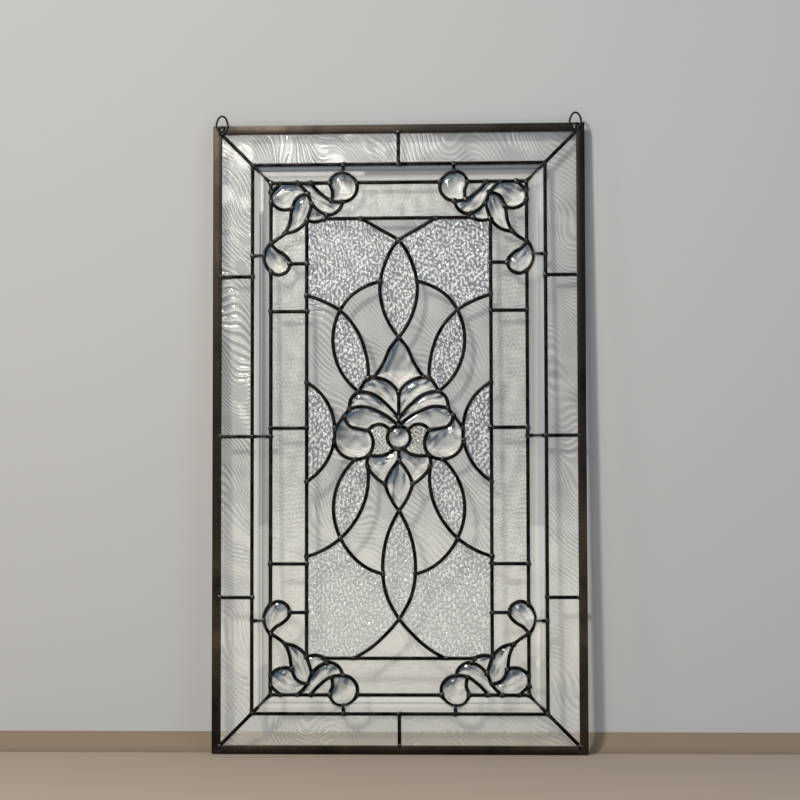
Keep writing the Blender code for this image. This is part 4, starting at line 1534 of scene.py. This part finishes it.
    def mark_bands(self, mesh: bpy.types.Mesh, edges: Array, axis: int, side: int) -> None:
        """Writes the painted light and shade of a bevelled strip's bands, and full painted light on its flat
        back.

        Args:
            mesh: the strip's mesh.
            edges: distances of the bands' edges from the panel's middle.
            axis: 0 for an upright strip and 1 for a level one.
            side: 1 to the right or at the top, and -1 to the left or at the bottom.
        """
        centres = read_places(mesh.polygons, "center")
        across, up = centres[:, 0], centres[:, 2] - self.sizes.middle_z
        light = np.array(STRIP_LIGHT[axis, side])
        band = np.searchsorted(edges, side * (across if axis == 0 else up)) - 1
        values = light[np.clip(band, 0, len(light) - 1)] + self.strip_panel_light * painted_panel_light(across, up)
        back = self.sizes.middle_y + self.sizes.glass_thickness / 2
        write_shine(mesh, np.where(centres[:, 1] > back - 0.01 * MM, 1.0, values), "FACE")

    def finely_cut(self, outline: Array) -> Array:
        """Cuts an outline's sides so that none is longer than the finest step.

        Args:
            outline: the outline's corners.

        Returns:
            The outline with the new points among them.
        """
        ring = np.vstack([outline, outline[:1]])
        run = np.concatenate([[0], np.cumsum(np.linalg.norm(np.diff(ring, axis=0), axis=1))])
        pieces = [np.linspace(start, end, max(2, 1 + math.ceil((end - start) / self.finest_step)))[:-1]
                  for start, end in zip(run[:-1], run[1:])]
        at = np.concatenate(pieces)
        return np.column_stack([np.interp(at, run, ring[:, axis]) for axis in (0, 1)])

    def widest_inset(self, outline: Array, wanted: float) -> float:
        """Finds how far an outline can move in without crossing itself.

        An inset is sound when none of its corners is nearer to the outline than the inset itself.

        Args:
            outline: the outline.
            wanted: the widest inset wanted.

        Returns:
            The width, at most the one wanted.
        """
        width = wanted
        start, span = outline, np.roll(outline, -1, axis=0) - outline
        while True:
            try:
                middle = inset_ring(outline, width)[0]
                from_start = middle[:, None] - start[None]
                share = np.clip((from_start * span).sum(2) / (span**2).sum(1), 0, 1)
                gap = np.linalg.norm(from_start - share[..., None] * span, axis=2).min()
                if gap > 0.97 * width and ring_area(middle) > 0:
                    return width if width == wanted else width * self.narrowing
            except ValueError:
                pass
            width *= self.narrowing

    def domed(self, name: str, outline: Array) -> bpy.types.Mesh:
        """Lofts a small bevelled pane: a flat back, a thin edge, a rounded slope and a flat middle.

        The slope's rise is a quarter sine of the way in from the edge.

        Args:
            name: the mesh's name.
            outline: the pane's outline.

        Returns:
            The mesh.
        """
        outline = self.finely_cut(outline)
        full = self.hidden + self.dome_width
        width = self.widest_inset(outline, full)
        back = -self.sizes.glass_thickness / 2
        rise = (self.bevel_middle - self.bevel_edge) * min(1.0, 1.25 * width / full)
        ring = outline
        vertices = [self.sizes.place(ring, back), self.sizes.place(ring, back + self.bevel_edge)]
        # Painted light and shade of each ring, with full painted light on the flat back
        shine = [np.ones(len(ring)), self.dome_light.shine(ring, 0.0, outline)]
        start = first = len(ring)
        polygons = [grid_quads(2, first, closed_columns=True)]
        for number in range(1, self.dome_rings + 1):
            inner, kept = inset_ring(ring, width / self.dome_rings)
            here = np.arange(len(ring))
            after = (here + 1) % len(ring)
            reached = np.searchsorted(kept, here) % len(kept) + start + len(ring)
            slopes = np.column_stack([here + start, after + start, reached[after], reached])
            point = reached == reached[after]
            polygons += [slopes[~point], slopes[point][:, :3]]
            start += len(ring)
            ring = inner
            share = number / self.dome_rings
            depth = back + self.bevel_edge + rise * math.sin(share * math.pi / 2)
            vertices.append(self.sizes.place(ring, depth))
            shine.append(self.dome_light.shine(ring, share, outline))
        polygons.append((np.arange(len(ring)) + start)[None, :])
        polygons.append(np.arange(first)[::-1][None, :])
        mesh = new_mesh(name, np.vstack(vertices), polygons)
        write_shine(mesh, np.concatenate(shine), "POINT")
        return mesh

    def prism(self, outline: Array) -> bpy.types.Mesh:
        """Makes an upright prism of an outline, thick enough to cut any pane.

        Args:
            outline: the outline's corners.

        Returns:
            The mesh, closed.
        """
        count = len(outline)
        reach = 2 * self.sizes.glass_thickness
        vertices = np.vstack([self.sizes.place(outline, -reach), self.sizes.place(outline, reach)])
        here = np.arange(count)
        walls = grid_quads(2, count, closed_columns=True)
        return new_mesh("prism", vertices, [walls, here[::-1][None, :], (here + count)[None, :]])

    def rolled(self, name: str, outline: Array, relief: Relief) -> bpy.types.Mesh:
        """Cuts a pane of rolled glass: the relief's slab inside a prism of the outline.

        Args:
            name: the mesh's name.
            outline: the pane's outline.
            relief: the relief on its front.

        Returns:
            The mesh.
        """
        margin = 2 * relief.spacing
        slab = relief.slab(outline.min(0) - margin, outline.max(0) + margin, self.sizes)
        mesh = cut_out(name, slab, self.prism(outline))
        relief.mark(mesh, self.sizes)
        return mesh


def cut_out(name: str, body: bpy.types.Mesh, shape: bpy.types.Mesh) -> bpy.types.Mesh:
    """Keeps what two closed meshes share.

    Args:
        name: the new mesh's name.
        body: the mesh that is cut.
        shape: the mesh that bounds it.

    Returns:
        The shared part. Both meshes given are removed.
    """
    things = [bpy.data.objects.new(mesh.name, mesh) for mesh in (body, shape)]
    for thing in things:
        bpy.context.scene.collection.objects.link(thing)
    cut = things[0].modifiers.new("outline", "BOOLEAN")
    cut.operation, cut.solver, cut.object = "INTERSECT", "MANIFOLD", things[1]
    bpy.context.view_layer.update()
    depsgraph = bpy.context.evaluated_depsgraph_get()
    result = bpy.data.meshes.new_from_object(things[0].evaluated_get(depsgraph))
    for thing in things:
        bpy.data.objects.remove(thing)
    for mesh in (body, shape):
        bpy.data.meshes.remove(mesh)
    result.name = name
    return result


# Lead, solder, frame and loops

@dataclass
class LeadCames:
    """The lead cames and the solder of their joints."""

    sizes: PanelSizes
    plan: LeadPlan
    lead: bpy.types.Material
    solder: bpy.types.Material
    face_steps: int = 7
    longest_step: float = 5.0 * MM
    swell_reach: float = 3.6 * MM
    swell: float = 0.14
    end_steps: tuple[float, ...] = (0.0, 1.5 * MM, 3.2 * MM, 5.5 * MM, 8.5 * MM)
    seat_touch: float = 0.1 * MM
    seat_gaps: tuple[float, ...] = (0.0, 1.0 * MM, 4.5 * MM)
    blob_radius: float = 3.7 * MM
    blob_rise: float = 0.85 * MM
    blob_sink: float = 0.45 * MM
    blob_rings: int = 5
    blob_sides: int = 14
    end_rise: float = 0.9 * MM
    end_sink: float = 0.3 * MM
    end_lap: float = 1.4 * MM

    def section(self) -> Array:
        """Draws the came's H section: a rounded face in front and behind, and the heart between.

        Each face is half an ellipse from lip to lip.

        Returns:
            The closed outline as places across and depths, counter-clockwise.
        """
        half, heart = self.sizes.came_face / 2, self.sizes.came_heart / 2
        depth = self.sizes.came_half_depth
        inner = depth - self.sizes.came_lip
        edge = inner + 0.25 * self.sizes.came_lip
        turn = np.linspace(0, math.pi, self.face_steps)
        front = np.column_stack([half * np.cos(turn), edge + (depth - edge) * np.sin(turn)])
        hollow = np.array([(-half * 0.96, inner), (-heart, inner), (-heart, -inner), (-half * 0.96, -inner)])
        return np.vstack([front, hollow, -front, -hollow])

    def stations(self, line: Array) -> tuple[Array, Array]:
        """Chooses the stations along a stretch: the line's own points, some close to each end, and some
        between so that no gap is long.

        Args:
            line: the stretch's points.

        Returns:
            The places of the stations, and the distance of each from the nearer end.
        """
        run = np.concatenate([[0], np.cumsum(np.linalg.norm(np.diff(line, axis=0), axis=1))])
        length = run[-1]
        ends = np.array([step for step in self.end_steps if step < length / 2])
        even = np.linspace(0, length, 2 + int(length / (6 * self.longest_step)))
        inner = run[(run > ends.max()) & (run < length - ends.max())]
        at = np.unique(np.round(np.concatenate([ends, length - ends, even, inner]), 6))
        at = at[np.concatenate([[True], np.diff(at) > 0.25 * MM])]
        at[-1] = length
        places = np.column_stack([np.interp(at, run, line[:, axis]) for axis in (0, 1)])
        return places, np.minimum(at, length - at)

    def short_of_seat(self, line: Array) -> Array:
        """Pulls the ends that lie on the frame's seat back, further where a mitre meets the corner.

        Args:
            line: the stretch's points.

        Returns:
            The points, with the ends moved.
        """
        line = line.copy()
        for end, inner in ((0, 1), (-1, -2)):
            sides = int((np.abs(line[end]) > self.sizes.seat_half - self.seat_touch).sum())
            way = line[inner] - line[end]
            line[end] += way / np.linalg.norm(way) * self.seat_gaps[sides]
        return line

    def sweep(self, line: Array) -> tuple[Array, list[Array]]:
        """Carries the section along a stretch, swollen towards its soldered ends.

        The section's width grows by a bell curve of the distance to the nearer end.

        Args:
            line: the stretch's points.

        Returns:
            The vertices and polygons.
        """
        places, distance = self.stations(self.short_of_seat(line))
        side = path_sides(places, closed=False)
        section = self.section()
        grow = 1 + self.swell * np.exp(-(distance / self.swell_reach)**2)
        plan = places[:, None] + side[:, None] * (section[None, :, :1] * grow[:, None, None])
        depth = section[None, :, 1] * (1 + 0.25 * (grow[:, None] - 1))
        vertices = self.sizes.place(plan, depth).reshape(-1, 3)
        return vertices, bar_polygons(len(places), len(section))

    def build(self) -> None:
        """Makes the cames as one soldered network, with the solder in front and behind."""
        vertices, polygons = joined([self.sweep(line) for line in self.plan.stretches])
        mesh = new_mesh("lead_came_lengths", vertices, polygons)
        turn_faces_out(mesh)
        finish_piece(mesh, self.lead, ("came_network",), math.radians(50))
        between, on_frame = self.plan.joints()
        joints = SolderBlobs(self.sizes, self.solder, "lead_came", self.blob_radius, self.blob_rise,
                             self.blob_rings, self.blob_sides)
        base = self.sizes.came_half_depth - self.blob_sink
        joints.build("solder_joints_front", between, base, 1, seed=11)
        joints.build("solder_joints_back", between, base, -1, seed=11)
        edge = self.sizes.half - self.sizes.channel_face + self.end_lap
        met = np.clip(on_frame, -edge, edge)
        base = self.sizes.channel_depth / 2 - self.end_sink
        replace(joints, rise=self.end_rise).build("solder_on_frame", met, base, 1, seed=12)


@dataclass(frozen=True)
class SolderBlobs:
    """Rounded blobs of solder, each a low dome with an uneven rim."""

    sizes: PanelSizes
    material: bpy.types.Material
    slot: str
    radius: float
    rise: float
    rings: int
    sides: int
    stretch: tuple[float, float] = (1.0, 1.0)
    sharp: float = math.radians(60)

    def build(self, name: str, places: Array, base: float, way: int, seed: int) -> None:
        """Makes all blobs at once as an array of domes, in one piece.

        A dome's height is the square root of one less the squared share of its radius, and its radius
        is changed by two waves round the rim and by up to a sixth from blob to blob.

        Args:
            name: the mesh's name.
            places: the blobs' middles.
            base: depth of their rims.
            way: 1 in front and -1 behind.
            seed: start of the random numbers.
        """
        draw = np.random.default_rng(seed)
        count = len(places)
        angle = np.linspace(0, 2 * math.pi, self.sides, endpoint=False)
        share = np.linspace(0, 1, self.rings + 1)[1:]
        phase = draw.uniform(0, 2 * math.pi, (count, 2))
        size = draw.uniform(0.86, 1.16, count)
        rim = (1 + 0.1 * np.sin(2 * angle + phase[:, :1]) + 0.07 * np.sin(3 * angle + phase[:, 1:]))
        radius = self.radius * size[:, None, None] * rim[:, None, :] * share[None, :, None]
        round_way = np.stack([np.cos(angle) * self.stretch[0], np.sin(angle) * self.stretch[1]], axis=-1)
        plan = places[:, None, None, :] + radius[..., None] * round_way
        depth = base + self.rise * size[:, None, None] * np.sqrt(1 - 0.985 * share**2)[None, :, None]
        depth = np.broadcast_to(depth, plan.shape[:-1])
        tops = self.sizes.place(places[:, None, :], way * (base + self.rise * size[:, None]))
        shells = self.sizes.place(plan, way * depth).reshape(count, -1, 3)
        vertices = np.concatenate([tops, shells], axis=1)
        first = (np.arange(count) * vertices.shape[1])[:, None, None]
        here = np.arange(self.sides)
        fan = np.column_stack([np.zeros_like(here), 1 + here, 1 + (here + 1) % self.sides])
        walls = 1 + grid_quads(self.rings, self.sides, closed_columns=True)
        floor = (1 + (self.rings - 1) * self.sides + here)[None, :]
        polygons = [(first + block[None]).reshape(-1, block.shape[1]) for block in (fan, walls, floor)]
        mesh = new_mesh(name, vertices.reshape(-1, 3), polygons)
        turn_faces_out(mesh)
        finish_piece(mesh, self.material, (), self.sharp)


@dataclass
class ChannelFrame:
    """Four bars of U channel round the glass, soldered at the corners."""

    sizes: PanelSizes
    patina: bpy.types.Material
    solder: bpy.types.Material
    edge_radius: float = 0.45 * MM
    edge_steps: int = 4
    stations: int = 24
    seam_shares: tuple[float, ...] = (0.2, 0.45, 0.7)
    seam_radius: float = 2.6 * MM
    seam_rise: float = 0.4 * MM
    seam_sink: float = 0.12 * MM

    def section(self) -> Array:
        """Draws the channel's section with rounded edges.

        Returns:
            The closed outline as distances in from the frame's outer edge, and depths.
        """
        face, half = self.sizes.channel_face, self.sizes.channel_depth / 2
        wall = self.sizes.channel_wall
        corners = [(0, -half), (face, -half), (face, -half + wall), (wall, -half + wall),
                   (wall, half - wall), (face, half - wall), (face, half), (0, half)]
        return rounded_ring(np.array(corners), self.edge_radius, self.edge_steps)

    def bar(self, name: str, middle: Array, inward: Array, length: float, node: str) -> None:
        """Makes one bar by carrying the section along it.

        Args:
            name: the piece's name.
            middle: plan place of the middle of its outer edge.
            inward: unit way from the outer edge to the panel's middle.
            length: the bar's length.
            node: the solid it stands for.
        """
        along = np.array([-inward[1], inward[0]])
        section = self.section()
        run = np.linspace(-length / 2, length / 2, self.stations)
        plan = middle + run[:, None, None] * along + section[None, :, :1] * inward
        depth = np.broadcast_to(section[None, :, 1], plan.shape[:-1])
        vertices = self.sizes.place(plan, depth).reshape(-1, 3)
        mesh = new_mesh(name, vertices, bar_polygons(self.stations, len(section)))
        turn_faces_out(mesh)
        finish_piece(mesh, self.patina, (node,), math.radians(40))

    def build(self) -> None:
        """Makes the four bars and the solder at their corners."""
        half = self.sizes.half
        between = 2 * (half[0] - self.sizes.channel_face - self.sizes.fit_gap)
        bars = (("left", (-half[0], 0), (1, 0), 2 * half[1]), ("right", (half[0], 0), (-1, 0), 2 * half[1]),
                ("top", (0, half[1]), (0, -1), between), ("bottom", (0, -half[1]), (0, 1), between))
        for title, middle, inward, length in bars:
            self.bar(f"channel_bar_{title}", np.array(middle), np.array(inward, float), length,
                     f"frame_{title}")
        face = self.sizes.channel_face
        signs = np.array([(-1, -1), (1, -1), (1, 1), (-1, 1)])
        seams = np.vstack([signs * (half - face + (0, share * face)) for share in self.seam_shares])
        blobs = SolderBlobs(self.sizes, self.solder, "frame_metal", self.seam_radius, self.seam_rise,
                            rings=4, sides=12, stretch=(0.6, 0.95))
        blobs.build("corner_solder", seams, self.sizes.channel_depth / 2 - self.seam_sink, 1, seed=21)


@dataclass
class HangingLoops:
    """The two wire loops on the frame's top corners, with the solder over their legs."""

    sizes: PanelSizes
    wire: bpy.types.Material
    solder: bpy.types.Material
    wire_radius: float = 1.25 * MM
    wire_half_width: float = 1.45 * MM
    reach: float = 7.9 * MM
    top_gap: float = 0.02 * MM
    span_steps: int = 6
    round_points: int = 12
    solder_drop: float = 6.2 * MM
    solder_radius: float = 5.6 * MM
    solder_rise: float = 2.1 * MM
    solder_sink: float = 0.2 * MM

    def line(self, low: Vector, high: Vector) -> Array:
        """Draws the loop's closed middle line: an arch that is widest at the frame's top edge.

        Below the edge its legs close in on the corner of the glass.

        Args:
            low: lowest corner of the solid loop's box.
            high: its highest corner.

        Returns:
            Plan places of the line, from the right leg's foot over the arch to the left one's.
        """
        middle, edge = (low.x + high.x) / 2, self.sizes.half_height
        rise = high.z - self.sizes.middle_z - self.wire_half_width - edge - self.top_gap
        half = np.array([(0.0, rise), (0.5 * self.reach, 0.86 * rise), (0.86 * self.reach, 0.5 * rise),
                         (self.reach, 0.0), (0.78 * self.reach, -0.32 * rise),
                         (self.wire_radius, -0.86 * rise)])
        arch = np.vstack([half[::-1], half[1:] * (-1, 1)])
        return smooth_curve(arch, self.span_steps) + (middle, edge)

    def build(self) -> None:
        """Makes both loops and their solder."""
        angle = np.linspace(0, 2 * math.pi, self.round_points, endpoint=False)
        blobs = SolderBlobs(self.sizes, self.solder, "loop_wire", self.solder_radius, self.solder_rise,
                            rings=7, sides=20, stretch=(0.92, 1.1))
        for title in SIDE_NAMES.values():
            node = f"hanging_loop_{title}"
            low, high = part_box(node)
            line = self.line(low, high)
            side = path_sides(line, closed=True)
            plan = line[:, None] + side[:, None] * (self.wire_half_width * np.cos(angle))[None, :, None]
            depth = self.sizes.middle_y + self.wire_radius * np.sin(angle)
            vertices = self.sizes.place(plan, depth[None, :]).reshape(-1, 3)
            quads = grid_quads(len(line), self.round_points, closed_rows=True, closed_columns=True)
            mesh = new_mesh(f"wire_loop_{title}", vertices, [quads])
            turn_faces_out(mesh)
            finish_piece(mesh, self.wire, (node,), math.radians(60))
            centre = np.array([[(low.x + high.x) / 2, self.sizes.half_height - self.solder_drop]])
            base = self.sizes.channel_depth / 2 - self.solder_sink
            blobs.build(f"loop_solder_{title}", centre, base, 1, seed=31)


# Light, stage and camera

@dataclass(frozen=True)
class Softbox:
    """A square or oblong area lamp aimed at a place."""

    name: str
    place: tuple[float, float, float]
    aim: tuple[float, float, float]
    width: float
    height: float
    power: float
    colour: Colour

    def build(self) -> None:
        """Makes the lamp."""
        lamp = bpy.data.lights.new(self.name, "AREA")
        lamp.shape = "RECTANGLE"
        lamp.size, lamp.size_y = self.width, self.height
        lamp.energy, lamp.color = self.power, self.colour
        thing = bpy.data.objects.new(self.name, lamp)
        thing.location = self.place
        thing.rotation_euler = (Vector(self.aim) - Vector(self.place)).to_track_quat("-Z", "Y").to_euler()
        bpy.context.scene.collection.objects.link(thing)


@dataclass
class Studio:
    """Plain pale floor and backdrop, soft light and the camera."""

    sizes: PanelSizes
    sky: Colour = (0.52, 0.68, 1.0)
    sky_strength: float = 0.28
    backdrop_colour: Colour = (0.385, 0.38, 0.37)
    floor_colour: Colour = (0.37, 0.3, 0.225)
    # The cove by the wall is dark with painted shadow, where the frame shades the floor
    cove_shadow_colour: Colour = (0.2, 0.15, 0.1)
    foot_gap: float = 44 * MM
    top_gap: float = 15 * MM
    cove: float = 31 * MM
    backdrop_half_width: float = 1.6
    backdrop_top: float = 1.1
    floor_half: float = 5.0
    floor_drop: float = 0.4 * MM
    cove_gap: float = 0.5 * MM
    cove_lift: float = 0.2 * MM
    cove_steps: int = 9
    lens: float = 100.0
    sensor: float = 36.0
    camera_place: tuple[float, float, float] = (0.1595, -3.0801, -0.5800)
    camera_pitch: float = 0.0583
    camera_yaw: float = 0.0511
    camera_roll: float = -0.0019

    def stand(self, mesh: bpy.types.Mesh, name: str, colour: Colour) -> None:
        """Makes a matt stage piece of a mesh. Its back is clear, so that views from behind look through it.

        Args:
            mesh: the mesh, in place.
            name: its material's name.
            colour: its colour.
        """
        material, nodes = new_material(name)
        matt = nodes.dress(Base_Color=(*colour, 1), Roughness=0.9)
        clear = nodes.add("ShaderNodeBsdfTransparent").outputs["BSDF"]
        facing = nodes.add("ShaderNodeNewGeometry").outputs["Backfacing"]
        nodes.show_mix(facing, matt, clear)
        mesh.materials.append(material)
        thing = bpy.data.objects.new(mesh.name, mesh)
        bpy.context.scene.collection.objects.link(thing)

    def build(self) -> None:
        """Makes the stage, the lights and the camera."""
        foot = self.sizes.foot_z - self.floor_drop
        back = self.sizes.middle_y + self.sizes.channel_depth / 2
        lean = (self.top_gap - self.foot_gap) / (2 * self.sizes.half_height)
        top_y = back + self.foot_gap + lean * (self.backdrop_top - foot)
        foot_y = back + self.foot_gap
        wide = self.backdrop_half_width
        backdrop = np.array([(-wide, foot_y, foot), (wide, foot_y, foot), (wide, top_y, self.backdrop_top),
                             (-wide, top_y, self.backdrop_top)])
        one_face = [np.arange(4)[None, :]]
        self.stand(new_mesh("backdrop", backdrop, one_face), "Pale backdrop", self.backdrop_colour)
        turn = np.linspace(0, math.pi / 2, self.cove_steps)
        cove_y = foot_y - self.cove_gap - self.cove * (1 - np.sin(turn))
        cove_z = foot + self.cove * (1 - np.cos(turn)) + self.cove_lift
        columns = [np.column_stack([np.full(self.cove_steps, side), cove_y, cove_z])
                   for side in (-wide, wide)]
        cove = new_mesh("floor_cove", np.stack(columns, axis=1).reshape(-1, 3),
                        [grid_quads(self.cove_steps, 2)])
        # The cove is given the dark colour of painted shadow
        self.stand(cove, "Painted shadow on the floor by the wall", self.cove_shadow_colour)
        reach = self.floor_half
        floor = np.array([(-reach, -reach, foot), (reach, -reach, foot), (reach, reach, foot),
                          (-reach, reach, foot)])
        self.stand(new_mesh("floor", floor, one_face), "Pale floor", self.floor_colour)
        self.lights()
        self.camera()

    def lights(self) -> None:
        """Makes the softboxes and the pale surround."""
        aim = (0.0, 0.0, self.sizes.middle_z)
        for box in (
            Softbox("key", (-0.95, -2.45, 1.00), aim, 0.3, 0.3, 66.0, (1.0, 0.965, 0.9)),
            Softbox("sky_panel", (-0.9, -3.2, 1.65), aim, 2.2, 1.2, 16.0, (0.95, 0.98, 1.0)),
            Softbox("glare", (-0.60, -3.3, 0.46), aim, 0.66, 0.24, 3.1, (1.0, 0.97, 0.92)),
            Softbox("side_strip", (-2.2, -1.2, -0.2), aim, 0.35, 1.8, 7.0, (1.0, 0.96, 0.9)),
            Softbox("fill", (1.9, -2.4, -0.1), aim, 1.6, 1.4, 16.0, (0.66, 0.83, 1.0)),
            Softbox("bar_strip", (-0.62, -3.05, 0.67), aim, 0.36, 0.2, 6.2, (1.0, 0.9, 0.8)),
            Softbox("ground_glow", (0.1, -1.6, -0.72), (0.0, 0.0, -0.8), 2.4, 0.3, 4.2, (1.0, 0.9, 0.77)),
        ):
            box.build()
        world = bpy.data.worlds.new("Studio surround")
        world.use_nodes = True
        background = world.node_tree.nodes["Background"]
        background.inputs["Color"].default_value = (*self.sky, 1)
        background.inputs["Strength"].default_value = self.sky_strength
        bpy.context.scene.world = world
        bpy.context.scene.view_settings.view_transform = "Standard"

    def camera(self) -> None:
        """Makes the camera at the photograph's angle: pitched up, yawed left and barely rolled."""
        lens = bpy.data.cameras.new("camera")
        lens.lens, lens.sensor_width = self.lens, self.sensor
        thing = bpy.data.objects.new("camera", lens)
        pitch, yaw = self.camera_pitch, self.camera_yaw
        level = math.cos(pitch)
        forward = Vector((-math.sin(yaw) * level, math.cos(yaw) * level, math.sin(pitch)))
        turn = forward.to_track_quat("-Z", "Y").to_matrix()
        roll = Vector((0, 0, 1))
        thing.rotation_euler = (turn @ Matrix.Rotation(self.camera_roll, 3, roll)).to_euler()
        thing.location = self.camera_place
        bpy.context.scene.collection.objects.link(thing)
        bpy.context.scene.camera = thing


def main() -> None:
    """Builds the glass, the lead, the frame, the loops and the studio."""
    logging.basicConfig(level=logging.INFO, format="%(message)s")
    sizes = PanelSizes.from_frame()
    plan = LeadPlan(sizes)
    patina, surface = patina_group(), glass_surface_group()
    metals = {name: finish.material(patina) for name, finish in METALS.items()}
    glasses = {kind: finish.material(surface) for kind, finish in GLASSES.items()}
    Studio(sizes).build()
    GlassPanes(sizes, plan, glasses).build()
    LeadCames(sizes, plan, metals["lead"], metals["solder"]).build()
    ChannelFrame(sizes, metals["channel"], metals["solder"]).build()
    HangingLoops(sizes, metals["wire"], metals["solder"]).build()


if __name__ == "__main__":
    main()
